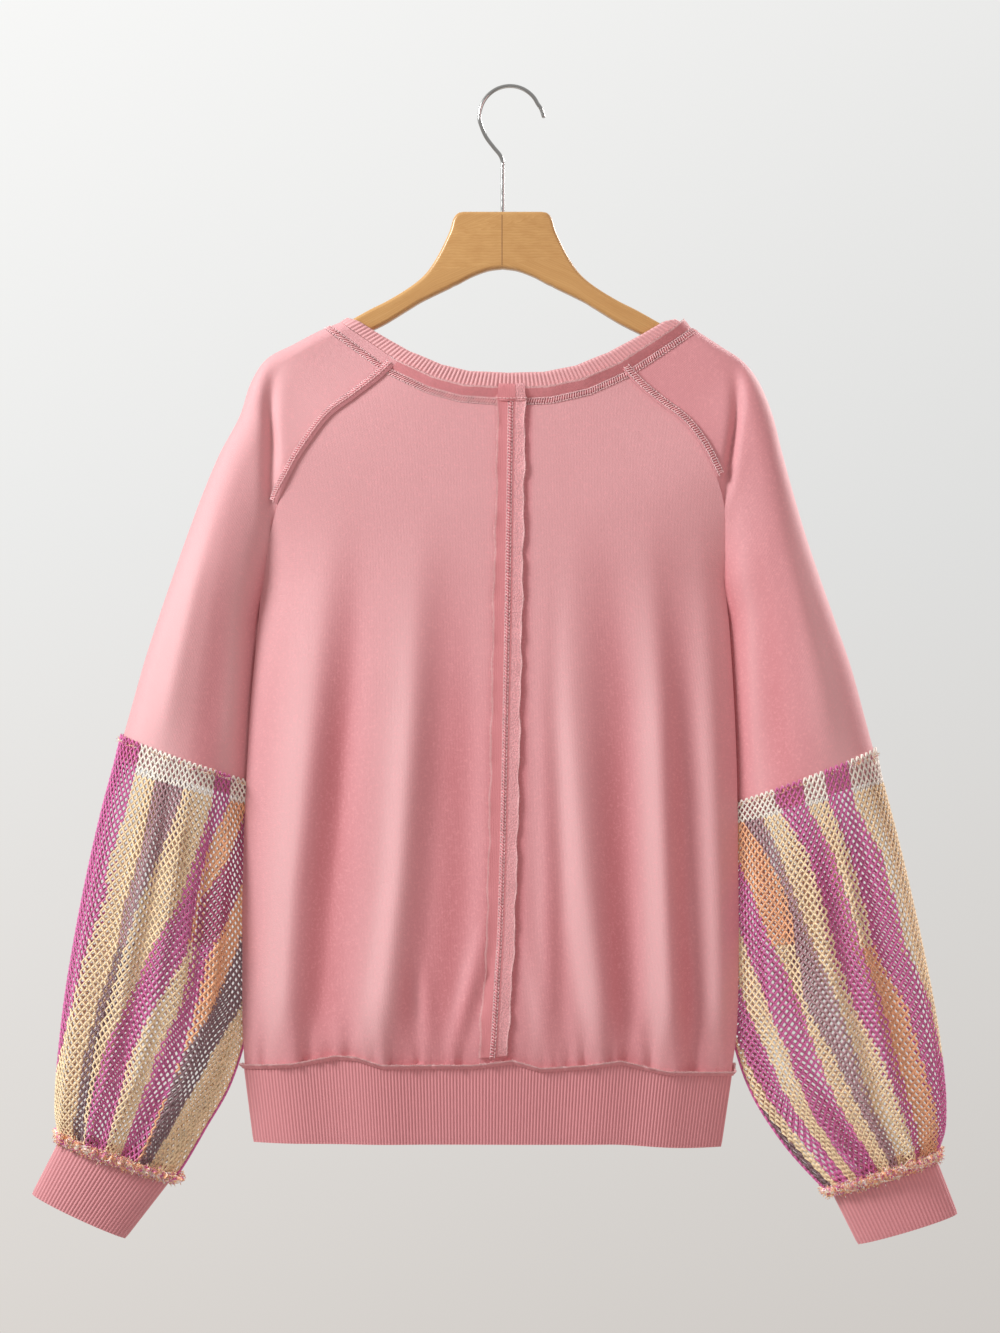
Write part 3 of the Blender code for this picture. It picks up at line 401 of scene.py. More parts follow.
RIGHT_STRIPE_EDGES = table(
    "z a b c d e f g h i j k",
    (-584, 0.23, 0.39, 0.535, 0.73, 0.86, 1.00, 1.10, 1.20, 1.30, 1.40, 1.50),
    (-625, 0.14, 0.32, 0.417, 0.564, 0.736, 0.816, 1.00, 1.10, 1.20, 1.30, 1.40),
    (-666, 0.12, 0.29, 0.375, 0.511, 0.653, 0.70, 0.87, 1.02, 1.10, 1.20, 1.30),
    (-707, 0.107, 0.267, 0.342, 0.476, 0.572, 0.68, 0.786, 0.936, 1.02, 1.12, 1.20),
    (-748, 0.03, 0.158, 0.279, 0.42, 0.50, 0.658, 0.69, 0.842, 0.96, 1.05, 1.15),
    (-789, 0.01, 0.13, 0.25, 0.33, 0.45, 0.56, 0.64, 0.77, 0.88, 1.00, 1.08),
    (-830, -0.03, 0.09, 0.21, 0.28, 0.42, 0.50, 0.60, 0.75, 0.85, 0.95, 1.02),
    (-871, -0.06, 0.05, 0.17, 0.22, 0.36, 0.44, 0.54, 0.73, 0.81, 0.90, 0.97),
)
# Lengthwise folds of the net: where each runs, as the stripes' edges do, and its height.
NET_FOLDS = table(
    "top middle low height width",
    (0.12, 0.10, 0.06, 3.0, 0.045),
    (0.26, 0.22, 0.16, -3.0, 0.035),
    (0.40, 0.34, 0.24, 3.5, 0.035),
    (0.50, 0.42, 0.31, -3.5, 0.035),
    (0.60, 0.52, 0.38, 3.5, 0.035),
    (0.80, 0.72, 0.53, -4.5, 0.035),
    (0.90, 0.82, 0.62, 4.0, 0.035),
    (1.08, 0.98, 0.76, -2.5, 0.035),
)

# --- numbers -------------------------------------------------------------------------------


def unit(vectors):
    return vectors / np.maximum(np.linalg.norm(vectors, axis=-1, keepdims=True), 1e-9)


def smoothstep(low, high, value):
    part = np.clip((value - low) / (high - low), 0.0, 1.0)
    return part * part * (3 - 2 * part)


def swell(edge, depth, part, sharp, power=2.0):
    """Half depth from edge, where part is 0, to depth, where it is 1."""
    rise = 1 - (1 - part) ** power
    low, high = edge ** (1 / sharp), depth ** (1 / sharp)
    return (low + (high - low) * rise) ** sharp


def between(values, places):
    """A smooth curve through values at 0, 1, 2 and so on, read at places."""
    values = np.asarray(values, float)
    last = len(values) - 1
    low = np.clip(places.astype(int), 0, last - 1)
    t = (places - low).reshape(-1, *[1] * (values.ndim - 1))
    b, c = values[low], values[low + 1]
    a = np.where((low == 0).reshape(t.shape), 2 * b - c, values[np.maximum(low - 1, 0)])
    d = np.where((low + 2 > last).reshape(t.shape), 2 * c - b, values[np.minimum(low + 2, last)])
    return 0.5 * (
        2 * b + (c - a) * t + (2 * a - 5 * b + 4 * c - d) * t**2 + (3 * b - a - 3 * c + d) * t**3
    )


def refined(rows, fineness):
    """A table with this many rows for each of its own."""
    count = len(rows["seam_x"])
    places = np.linspace(0, count - 1, (count - 1) * fineness + 1)
    return {name: between(values, places) for name, values in rows.items()}


def along(points, axis, wrap=False):
    if wrap:
        return np.roll(points, -1, axis) - np.roll(points, 1, axis)
    return np.gradient(points, axis=axis)


def outward(points, wrap=False):
    """Unit normals of a grid, away from the garment's middle plane."""
    found = unit(np.cross(along(points, 0), along(points, 1, wrap)))
    return found if (found[..., 1] * points[..., 1]).sum() > 0 else -found


def trimmed(points, top=0.0, bottom=0.0, first=0.0, last=0.0):
    """A grid whose outer rows and columns are drawn in by these distances."""
    cut = points.copy()
    cut[0] += top * unit(cut[1] - cut[0])
    cut[-1] += bottom * unit(cut[-2] - cut[-1])
    cut[:, 0] += first * unit(cut[:, 1] - cut[:, 0])
    cut[:, -1] += last * unit(cut[:, -2] - cut[:, -1])
    return cut


def read(grid, row, column, wrap=False):
    """A grid of values read at fractional rows and columns."""
    rows, columns = grid.shape[:2]
    row = np.clip(row, 0, rows - 1)
    low = np.minimum(row.astype(int), rows - 2)
    down = (row - low)[..., None]
    if wrap:
        left = np.floor(column).astype(int)
        part = (column - left)[..., None]
        left, right = left % columns, (left + 1) % columns
    else:
        column = np.clip(column, 0, columns - 1)
        left = np.minimum(column.astype(int), columns - 2)
        part = (column - left)[..., None]
        right = left + 1
    upper = grid[low, left] * (1 - part) + grid[low, right] * part
    lower = grid[low + 1, left] * (1 - part) + grid[low + 1, right] * part
    return upper * (1 - down) + lower * down


def lengths(points, axis):
    """How far each point of a grid is along its row or column."""
    steps = np.linalg.norm(np.diff(points, axis=axis), axis=-1)
    start = np.zeros_like(np.take(steps, [0], axis))
    return np.concatenate([start, np.cumsum(steps, axis)], axis)


# --- meshes --------------------------------------------------------------------------------


def add_mesh(name, vertices, faces, finishes, uv=None, finish_of=None, smooth=50, tone=None):
    """An object from points in mm. uv has a pair for each face corner, tone a value for each
    point."""
    mesh = bpy.data.meshes.new(name)
    faces = np.asarray(faces, np.int32)
    corners = faces.shape[1]
    mesh.vertices.add(len(vertices))
    mesh.vertices.foreach_set("co", (np.asarray(vertices) * MM).astype(np.float32).ravel())
    mesh.loops.add(faces.size)
    mesh.loops.foreach_set("vertex_index", faces.ravel())
    mesh.polygons.add(len(faces))
    mesh.polygons.foreach_set("loop_start", np.arange(0, faces.size, corners, dtype=np.int32))
    mesh.polygons.foreach_set("loop_total", np.full(len(faces), corners, np.int32))
    if finish_of is not None:
        mesh.polygons.foreach_set("material_index", np.asarray(finish_of, np.int32))
    if uv is not None:
        layer = mesh.uv_layers.new(name="cloth")
        layer.data.foreach_set("uv", np.asarray(uv, np.float32).ravel())
    if tone is not None:
        layer = mesh.attributes.new("tone", "FLOAT", "POINT")
        layer.data.foreach_set("value", tone.astype(np.float32))
    mesh.update(calc_edges=True)
    mesh.validate()
    mesh.shade_smooth()
    mesh.set_sharp_from_angle(angle=math.radians(smooth))
    for finish in finishes if isinstance(finishes, (list, tuple)) else [finishes]:
        mesh.materials.append(finish)
    made = bpy.data.objects.new(name, mesh)
    bpy.context.scene.collection.objects.link(made)
    return made


def shell(name, outer, inner, finish, wrap=False, uv=None, smooth=50, tone=None):
    """A closed wall between two grids. uv is a grid with one more column where it wraps, and tone is
    the painted light and shade of the outer face."""
    rows, columns = outer.shape[:2]
    if uv is None:
        uv = np.stack([lengths(outer, 1), lengths(outer, 0)], -1)
        if wrap:
            uv = np.concatenate([uv, 2 * uv[:, -1:] - uv[:, -2:-1]], 1)
    steps = columns if wrap else columns - 1
    places = np.meshgrid(np.arange(rows - 1), np.arange(steps), indexing="ij")
    row, column = [v.ravel() for v in places]
    r = np.stack([row, row + 1, row + 1, row], -1)
    c = np.stack([column, column, column + 1, column + 1], -1)
    under = rows * columns
    faces = [r * columns + c % columns]
    uvs = [uv[r, c]]
    faces.append(faces[0][:, ::-1] + under)
    uvs.append(uvs[0][:, ::-1])
    c = np.arange(steps)
    for edge, ends in ((0, (c, c + 1)), (rows - 1, (c + 1, c))):
        a, b = edge * columns + ends[0] % columns, edge * columns + ends[1] % columns
        faces.append(np.stack([a, b, b + under, a + under], -1))
        uvs.append(uv[edge, np.stack([ends[0], ends[1], ends[1], ends[0]], -1)])
    if not wrap:
        r = np.arange(rows - 1)
        for edge, ends in ((0, (r + 1, r)), (columns - 1, (r, r + 1))):
            a, b = ends[0] * columns + edge, ends[1] * columns + edge
            faces.append(np.stack([a, b, b + under, a + under], -1))
            uvs.append(uv[np.stack([ends[0], ends[1], ends[1], ends[0]], -1), edge])
    faces, uvs = np.concatenate(faces), np.concatenate(uvs)
    test = columns // 3
    facing = np.cross(outer[1, test] - outer[0, test], outer[0, test + 1] - outer[0, test])
    if facing @ (outer[0, test] - inner[0, test]) < 0:
        faces, uvs = faces[:, ::-1], uvs[:, ::-1]
    points = np.concatenate([outer.reshape(-1, 3), inner.reshape(-1, 3)])
    if tone is not None:
        tone = np.concatenate([tone.ravel(), np.zeros(under)])
    return add_mesh(name, points, faces, finish, uvs, smooth=smooth, tone=tone)


def wall(name, points, normals, thickness, finish, wrap=False, uv=None, tone=None):
    half = normals * thickness / 2
    return shell(name, points + half, points - half, finish, wrap, uv, tone=tone)


def bars(starts, ends, radius, sides, waist=1.0, segments=1, up=None, flatness=1.0):
    """Points and faces of closed bars between pairs of points, with waist times their radius
    at the middle, and flatness times it towards up."""
    count = len(starts)
    direction = unit(ends - starts)
    if up is None:
        up = np.where(np.abs(direction[:, 1:2]) > 0.8, [[1.0, 0, 0]], [[0.0, 1, 0]])
    side = unit(np.cross(direction, up))
    other = np.cross(side, direction) * flatness
    angles = np.arange(sides) * 2 * math.pi / sides + math.pi / 2
    ring = side[:, None] * np.cos(angles)[:, None] + other[:, None] * np.sin(angles)[:, None]
    rings = []
    for k in range(segments + 1):
        part = k / segments
        size = 1 - (1 - waist) * math.sin(math.pi * part)
        centre = starts + (ends - starts) * part
        rings.append(centre[:, None] + ring * np.reshape(radius, (-1, 1, 1)) * size)
    points = np.concatenate(rings, 1)
    top = segments * sides
    one = []
    for k in range(segments):
        for n in range(sides):
            low, high = k * sides + n, k * sides + (n + 1) % sides
            one.append((low, high, high + sides))
            one.append((low, high + sides, low + sides))
    for n in range(1, sides - 1):
        one.append((0, n + 1, n))
        one.append((top, top + n, top + n + 1))
    faces = np.array(one)[None] + (np.arange(count) * (top + sides))[:, None, None]
    return points.reshape(-1, 3), faces.reshape(-1, 3)


def even(line, count, closed=False):
    """Places on a line of points, evenly far apart."""
    path = np.concatenate([line, line[:1]]) if closed else line
    far = np.concatenate([[0], np.cumsum(np.linalg.norm(np.diff(path, axis=0), axis=1))])
    steps = np.linspace(0, far[-1], count + 1)[:-1] if closed else np.linspace(0, far[-1], count)
    return np.interp(steps, far, np.arange(len(path))), far[-1]


def on_line(line, places, closed=False):
    return read(np.array([line, line]), np.zeros(len(places)), places, closed)


def stitches(line, up, pitch, length, radius, lift=0.0):
    """A row of single stitches along a line on the cloth."""
    far = np.linalg.norm(np.diff(line, axis=0), axis=1).sum()
    count = max(4, int(far / pitch))
    middles, _ = even(line, count)
    half = length / 2 / far * (len(line) - 1)
    centre, normal = on_line(line, middles), unit(on_line(up, middles))
    way = unit(on_line(line, middles + half * 0.6) - on_line(line, middles - half * 0.6))
    jitter = rng.normal(0, 0.10, (count, 1)) * np.cross(way, normal)
    start = centre - way * length / 2 + normal * (lift - 0.1) + jitter
    end = centre + way * length / 2 + normal * (lift - 0.1) - jitter
    middle = centre + normal * (lift + 0.2)
    size = np.full(count, radius)
    return joined([bars(start, middle, size, 5), bars(middle, end, size, 5)])


def fibres(line, up, out, number, length, thickness):
    """Loose ends that stand out along a raw edge. out is the way out of the edge."""
    places = rng.uniform(0, len(line) - 1, number)
    root = on_line(line, places)
    way = unit(
        unit(on_line(out, places)) * rng.uniform(0.4, 1.0, (number, 1))
        + unit(on_line(up, places)) * rng.uniform(-0.2, 0.8, (number, 1))
        + rng.normal(0, 0.55, (number, 3))
    )
    reach = rng.uniform(0.35, 1.0, (number, 1)) * length
    bend = root + way * reach * 0.6
    tip = bend + unit(way + rng.normal(0, 0.5, (number, 3))) * reach * 0.5
    size = np.full(number, thickness)
    return joined([bars(root - way * 0.5, bend, size, 3), bars(bend, tip, size * 0.7, 3)])


def joined(groups):
    """Several groups of points and faces as one."""
    points, faces, start = [], [], 0
    for these, their in groups:
        points.append(these)
        faces.append(their + start)
        start += len(these)
    return np.concatenate(points), np.concatenate(faces)


# --- materials -----------------------------------------------------------------------------


class Nodes:
    """Short names for adding and joining the nodes of a material or the world."""

    def __init__(self, owner):
        owner.use_nodes = True
        self.owner = owner
        self.tree = owner.node_tree

    def add(self, kind, inputs=None, **settings):
        node = self.tree.nodes.new(kind)
        for key, value in settings.items():
            setattr(node, key, value)
        for key, value in (inputs or {}).items():
            self.put(value, node.inputs[key])
        return node

    def put(self, value, socket):
        if isinstance(value, bpy.types.NodeSocket):
            self.tree.links.new(value, socket)
        else:
            socket.default_value = value

    def math(self, operation, a, b=0.0, c=0.0):
        return self.add("ShaderNodeMath", {0: a, 1: b, 2: c}, operation=operation).outputs[0]

    def mix(self, part, a, b, blend="MIX"):
        node = self.add("ShaderNodeMix", {0: part, 6: a, 7: b}, data_type="RGBA", blend_type=blend)
        return node.outputs[2]

    def noise(self, scale, detail=2.0, vector=None, roughness=0.5):
        inputs = {"Scale": scale, "Detail": detail, "Roughness": roughness}
        if vector is not None:
            inputs["Vector"] = vector
        return self.add("ShaderNodeTexNoise", inputs).outputs["Fac"]

    def spread(self, value, low, high, to_low=0.0, to_high=1.0):
        inputs = {"Value": value, "From Min": low, "From Max": high}
        inputs.update({"To Min": to_low, "To Max": to_high})
        return self.add("ShaderNodeMapRange", inputs).outputs["Result"]

    def bump(self, height, strength, distance_mm, normal=None):
        inputs = {"Strength": strength, "Distance": distance_mm * MM, "Height": height}
        if normal is not None:
            inputs["Normal"] = normal
        return self.add("ShaderNodeBump", inputs).outputs["Normal"]

    def cloth_uv(self):
        uv = self.add("ShaderNodeUVMap", uv_map="cloth").outputs["UV"]
        parts = self.add("ShaderNodeSeparateXYZ", {0: uv})
        return parts.outputs["X"], parts.outputs["Y"]

    def place(self):
        return self.add("ShaderNodeTexCoord").outputs["Object"]

    def finish(self, colour, roughness, normal=None, **constants):
        shader = self.tree.nodes["Principled BSDF"]
        self.put(colour, shader.inputs["Base Color"])
        self.put(roughness, shader.inputs["Roughness"])
        if normal is not None:
            self.put(normal, shader.inputs["Normal"])
        for key, value in constants.items():
            shader.inputs[key.replace("_", " ")].default_value = value
        return self.owner


def new_material(name):
    return Nodes(bpy.data.materials.new(name))


def new_knit(name):
    """A knit material, with its coordinates, places and fibre noise."""
    n = new_material(name)
    place = n.place()
    return n, *n.cloth_uv(), place, n.noise(900.0, 3.0, place, 0.65)


def rgba(colour, times=1.0):
    return (*[c * times for c in colour], 1.0)


FLEECE_COLOUR = (0.735, 0.262, 0.288)
FLEECE_PALE = (0.79, 0.385, 0.40)  # painted highlight on the folds' tops, the upper body and the left sleeve; also the pale end of the broad random tone
FLEECE_PAINTED_SHADE = (0.68, 0.170, 0.195)  # painted shade in the folds' hollows, beside the strip and on the sleeves beside the body
RIB_COLOUR = (0.68, 0.235, 0.255)
# painted light: the neck rib is painted paler than the hem and cuff ribs, as lit from above
NECK_RIB_LIT_COLOUR = (0.74, 0.33, 0.34)
RAW_COLOUR = (0.70, 0.215, 0.235)
LOOP_SIDE_COLOUR = (0.80, 0.33, 0.35)
# painted shade of the groove under the cover stitches
FURROW_SHADE_COLOUR = (0.64, 0.200, 0.225)
FUZZ_COLOUR = (0.88, 0.52, 0.52)
THREAD_COLOUR = (0.93, 0.56, 0.57)
WALE_PITCH, COURSE_PITCH = 1.25, 0.95  # the fleece's knit stitches, in mm
NAP = dict(
    Sheen_Weight=0.45,
    Sheen_Roughness=0.5,
    Sheen_Tint=(1.0, 0.93, 0.92, 1.0),
    Specular_IOR_Level=1.0,
)


def knit_bump(n, u, v, fibre):
    """The height of V stitches in wales, with loose fibre over them."""
    wale = n.math("MULTIPLY", u, 1 / WALE_PITCH)
    across = n.math("ABSOLUTE", n.math("SUBTRACT", n.math("FRACT", wale), 0.5))
    slant = n.math("ADD", n.math("MULTIPLY", v, 1 / COURSE_PITCH), n.math("MULTIPLY", across, 1.3))
    stitch = n.math("SINE", n.math("MULTIPLY", slant, 2 * math.pi))
    ridge = n.math("COSINE", n.math("MULTIPLY", wale, 2 * math.pi))
    loops = n.math("ADD", n.math("MULTIPLY", stitch, 0.30), n.math("MULTIPLY", ridge, -0.22))
    return loops, n.math("ADD", loops, n.math("MULTIPLY", fibre, 2.0))


def knitted_cloth(name, speckle=0.15):
    """Plain knit: V stitches in wales, flecks of paler fibre, and a soft nap. Painted light from the
    tone attribute pales the folds' tops and darkens their hollows, and painted shade darkens the
    hollows between stitches."""
    n, u, v, place, fibre = new_knit(name)
    painted_light_tone = n.add("ShaderNodeAttribute", attribute_name="tone").outputs["Fac"]
    loops, height = knit_bump(n, u, v, fibre)
    broad = n.noise(9.0, 3.0, place)
    fleck = n.noise(430.0, 2.0, place, 0.7)
    # painted light: painted shade in the folds' hollows, painted highlight on their tops
    lower = n.mix(n.spread(painted_light_tone, -1.0, 0.0), rgba(FLEECE_PAINTED_SHADE), rgba(FLEECE_COLOUR))
    folded = n.mix(n.spread(painted_light_tone, 0.0, 1.0), lower, rgba(FLEECE_PALE))
    tone = n.mix(n.spread(broad, 0.3, 0.7, 0.0, 0.12), folded, rgba(FLEECE_PALE))
    pale = rgba([min(1.0, c * 1.2 + 0.08) for c in FLEECE_COLOUR])
    flecked = n.mix(n.spread(fleck, 0.50, 0.75, 0.0, speckle * 3.0), tone, pale)
    # painted shade in the hollows between the knit stitches
    sunk = n.spread(loops, -0.5, 0.2, speckle * 1.5, 0.0)
    stitch_shade = n.mix(sunk, flecked, rgba(FLEECE_COLOUR, 0.7))
    normal = n.bump(height, 0.7, 0.2)
    return n.finish(stitch_shade, n.spread(fibre, 0.3, 0.7, 0.50, 0.62), normal, **NAP)


def raw_flap_cloth():
    """Cut cloth whose first row is a raw edge, paler and fuzzy for about a millimetre."""
    n, u, v, place, fibre = new_knit("raw_flap_knit")
    ragged = n.noise(500.0, 2.0, place)
    _, height = knit_bump(n, u, v, fibre)
    reach = n.math("ADD", v, n.math("MULTIPLY", ragged, -1.6))
    tone = n.mix(n.spread(ragged, 0.3, 0.7), rgba(RAW_COLOUR, 0.94), rgba(RAW_COLOUR, 1.06))
    edge = n.mix(n.spread(reach, 0.0, 0.7, 0.85, 0.0), tone, rgba(FUZZ_COLOUR))
    return n.finish(edge, 0.65, n.bump(height, 0.6, 0.25), **NAP)


def strip_cloth():
    """The seam strip: smooth side left of the stitches, loops right of them, raw both sides."""
    n, u, v, place, fibre = new_knit("strip_knit")
    ragged = n.noise(500.0, 2.0, place)
    terry = n.add("ShaderNodeTexVoronoi", {"Scale": 780.0, "Vector": place}).outputs["Distance"]
    _, height = knit_bump(n, u, v, fibre)
    side = n.spread(u, 2.3, 3.1)
    # painted highlight on the terry loops' tops and painted shade between them
    lit, dark = rgba(LOOP_SIDE_COLOUR, 1.2), rgba(LOOP_SIDE_COLOUR, 0.9)
    speckled = n.mix(n.spread(terry, 0.15, 0.6), lit, dark)
    halves = n.mix(side, rgba(RAW_COLOUR, 1.05), speckled)
    reach = n.math("ADD", n.math("ABSOLUTE", u), n.math("MULTIPLY", ragged, 1.6))
    fuzzy = n.spread(reach, STRIP_HALF, STRIP_HALF + 1.0, 0.0, 0.6)
    edge = n.mix(fuzzy, halves, rgba(FUZZ_COLOUR))
    raised = n.math("ADD", height, n.math("MULTIPLY", n.math("MULTIPLY", terry, side), -3.0))
    return n.finish(edge, 0.65, n.bump(raised, 0.6, 0.3), **NAP)


def frayed_cloth():
    """Crushed ends of the net's yarns, in their mixed colours."""
    n = new_material("frayed_yarns")
    place = n.place()
    beside = n.add("ShaderNodeVectorMath", {0: place, 1: (3.0, 1.0, 2.0)}).outputs[0]
    first = n.noise(170.0, 2.0, place, 0.6)
    second = n.noise(210.0, 2.0, beside, 0.6)
    peach, pale = rgba(STRIPE_COLOURS["peach"]), rgba(STRIPE_COLOURS["pale"])
    warm = n.mix(n.spread(first, 0.42, 0.58), peach, pale)
    mixed = n.mix(n.spread(second, 0.50, 0.60), warm, rgba(STRIPE_COLOURS["magenta"]))
    return n.finish(mixed, 0.9, n.bump(first, 1.0, 1.0))


def ribbed_cloth(name, colour, valley_shade=0.22):
    """Ribs, one for each whole number of u, with knit stitches along them, painted shade in the
    grooves between them and a painted highlight on their tops.
    """
    n = new_material(name)
    u, v = n.cloth_uv()
    ridge = n.math("COSINE", n.math("MULTIPLY", u, 2 * math.pi))
    stitch = n.math("SINE", n.math("MULTIPLY", v, 2 * math.pi / 1.1))
    place = n.place()
    fibre = n.noise(800.0, 3.0, place, 0.65)
    broad = n.noise(14.0, 2.0, place)
    tone = n.mix(n.spread(broad, 0.3, 0.7), rgba(colour, 0.97), rgba(colour, 1.03))
    # painted shade in the grooves between ribs, then a painted highlight on the ribs' tops
    shaded_valleys = n.mix(n.spread(ridge, -1.0, 0.1, valley_shade, 0.0), tone, rgba(colour, 0.6))
    pale = rgba([min(1.0, c * 1.15 + 0.05) for c in colour])
    top = n.mix(n.spread(ridge, 0.0, 1.0, 0.0, 0.5), shaded_valleys, pale)
    height = n.math("ADD", n.math("MULTIPLY", stitch, 0.3), n.math("MULTIPLY", fibre, 1.2))
    return n.finish(top, 0.6, n.bump(height, 0.5, 0.2), **NAP)


def yarn(name, colour, variation=0.12):
    """Matt twisted thread, whose tone changes a little from place to place."""
    n = new_material(name)
    place = n.place()
    tone = n.noise(160.0, 2.0, place)
    fibre = n.noise(1500.0, 2.0, place, 0.7)
    dark, lit = rgba(colour, 1 - variation), rgba(colour, 1 + variation)
    shade = n.mix(n.spread(tone, 0.3, 0.7), dark, lit)
    return n.finish(
        shade, 0.7, n.bump(fibre, 0.4, 0.15), Sheen_Weight=0.5, Sheen_Roughness=0.4,
        Specular_IOR_Level=0.4,
    )


def varnished_wood():
    """Pale wood under satin varnish, with long grain that follows the arms' middle."""
    n = new_material("varnished_wood")
    u, v = n.cloth_uv()
    along_grain, over_grain = n.math("MULTIPLY", u, 0.012), n.math("MULTIPLY", v, 0.16)
    place = n.add("ShaderNodeCombineXYZ", {0: along_grain, 1: over_grain}).outputs[0]
    warp = n.noise(1.2, 2.0, place)
    wave = {"Vector": place, "Scale": 1.1, "Distortion": 5.0, "Detail": 3.0, "Detail Scale": 1.4}
    lines = n.add(
        "ShaderNodeTexWave", wave,
        wave_type="BANDS", bands_direction="Y", wave_profile="SAW",
    ).outputs["Fac"]
    pores = n.noise(60.0, 3.0, place, 0.7)
    base = n.mix(n.spread(lines, 0.0, 1.0), (0.60, 0.315, 0.105, 1), (0.70, 0.40, 0.155, 1))
    toned = n.mix(n.spread(warp, 0.3, 0.7, 0.0, 0.5), base, (0.50, 0.235, 0.07, 1))
    fine = n.mix(n.spread(pores, 0.5, 0.75, 0.0, 0.35), toned, (0.38, 0.17, 0.05, 1))
    return n.finish(
        fine, n.spread(pores, 0.3, 0.7, 0.30, 0.42), n.bump(pores, 0.12, 0.2),
        Coat_Weight=0.35, Coat_Roughness=0.22, Specular_IOR_Level=0.45,
    )


def polished_steel():
    n = new_material("polished_steel")
    smear = n.noise(120.0, 2.0, n.place())
    return n.finish(
        (0.50, 0.49, 0.48, 1), n.spread(smear, 0.3, 0.7, 0.14, 0.26), Metallic=1.0,
    )


def plain_floor():
    n = new_material("plain_floor")
    grain = n.noise(3.0, 2.0, n.place())
    tone = n.mix(n.spread(grain, 0.3, 0.7), (0.80, 0.79, 0.77, 1), (0.83, 0.82, 0.80, 1))
    return n.finish(tone, 0.8)


# --- forms of the frame --------------------------------------------------------------------


def sleeve_folds(part, down):
    """How far the sleeve's soft folds stand out, part of the way from its outer fold to its seam
    and down of the way to the net."""
    total = np.zeros_like(part)
    for at_top, at_low, height, width in zip(*SLEEVE_FOLDS.values()):
        at = at_top + (at_low - at_top) * down
        total += height * np.exp(-(((part - at) / width) ** 2))
    growth = smoothstep(SLEEVE_FOLD_START, SLEEVE_FOLD_FULL, down)
    return total * growth * smoothstep(0.0, 0.12, part) * smoothstep(1.0, 0.9, part)


def sleeve_row(rows, i, inner_steps, outer_steps, facing):
    """One side of a sleeve's section, from its seam to its outer fold."""
    row = {name: values[i] for name, values in rows.items()}
    seam = np.array([row["seam_x"], row["seam_z"]])
    seam[0] -= np.sign(seam[0]) * TUCK_SHARE * row["tuck"]
    if facing > 0:
        seam[1] -= row.get("drop", 0.0)
    out = np.array([row["out_x"], row["out_z"]])
    length = np.linalg.norm(out - seam)
    inner = np.linspace(0, row["peak"], inner_steps + 1)
    turn = np.linspace(0, math.pi / 2, outer_steps + 1)[1:]
    outer = row["peak"] + (1 - row["peak"]) * np.sin(turn)
    part = np.concatenate([inner, outer])
    half = np.concatenate(
        [
            swell(row["half"], row["depth"], inner / row["peak"], row["sharp"]),
            row["depth"] * np.cos(turn),
        ]
    )
    if "groove" in row:
        crease = np.exp(-(((part - row["groove_at"]) * length / GROOVE_WIDTH) ** 2))
        half = half - row["groove"] * crease * (part < 0.99)
        down = i / (len(rows["seam_x"]) - 1)
        half = half + sleeve_folds(1 - part, down) * smoothstep(1.0, 0.86, down)
    place = seam + part[:, None] * (out - seam)
    y = facing * half + row["tuck"] * (1 - part) ** 2
    return np.column_stack([place[:, 0], y, place[:, 1]])


def sleeve_grid(rows, inner_steps, outer_steps):
    """A sleeve as an open sheet: back seam, outer fold, front seam."""
    grid = []
    for i in range(len(rows["seam_x"])):
        back = sleeve_row(rows, i, inner_steps, outer_steps, -1)
        front = sleeve_row(rows, i, inner_steps, outer_steps, 1)
        grid.append(np.concatenate([back, front[::-1][1:]]))
    return np.array(grid)


def fold_height(x, z, facing):
    """How far the body's soft folds stand out of its section."""
    if facing > 0:
        x = 2 * BODY_MIRROR_X - x
    total = np.zeros_like(x)
    for folds, start_z, full_z, shift in (
        (FOLDS, FOLD_START_Z, FOLD_FULL_Z, FOLD_SHIFT),
        (CREASES, FOLD_START_Z, CREASE_FULL_Z, FOLD_SHIFT),
        (HEM_CREASES, HEM_CREASE_START_Z, HEM_CREASE_FULL_Z, 0.0),
    ):
        growth = smoothstep(start_z, full_z, z)
        for *line, height, width in zip(*folds.values()):
            middle = np.interp(z, FOLD_HEIGHTS_Z, line) + shift
            total += growth * height * np.exp(-(((x - middle) / width) ** 2))
    total *= 1 - FOLD_FLAT_SHARE * smoothstep(FOLD_FLAT_START_Z, FOLD_FLAT_Z, z)
    return total * (FRONT_FOLD_SHARE if facing > 0 else 1.0)


def body_painted_light(points, facing):
    """Painted light on the body's cloth: a painted highlight on the folds' tops and over the upper
    body, painted shade in hollows and beside the strip.
    """
    x, z = points[..., 0], points[..., 2]
    tone = fold_height(x + PAINTED_LIGHT_LEAN, z, facing) / PAINTED_LIGHT_HEIGHT
    tone += UPPER_PAINTED_LIGHT * (1 - smoothstep(-330, -600, z))
    if facing < 0:
        beside = x - np.interp(-z, -CENTRE_BACK["z"], CENTRE_BACK["x"]) - STRIP_HALF
        tone -= STRIP_SHADE * np.exp(-(((beside - STRIP_SHADE_AT) / STRIP_SHADE_WIDTH) ** 2))
    return np.clip(tone, -1.0, 1.0)


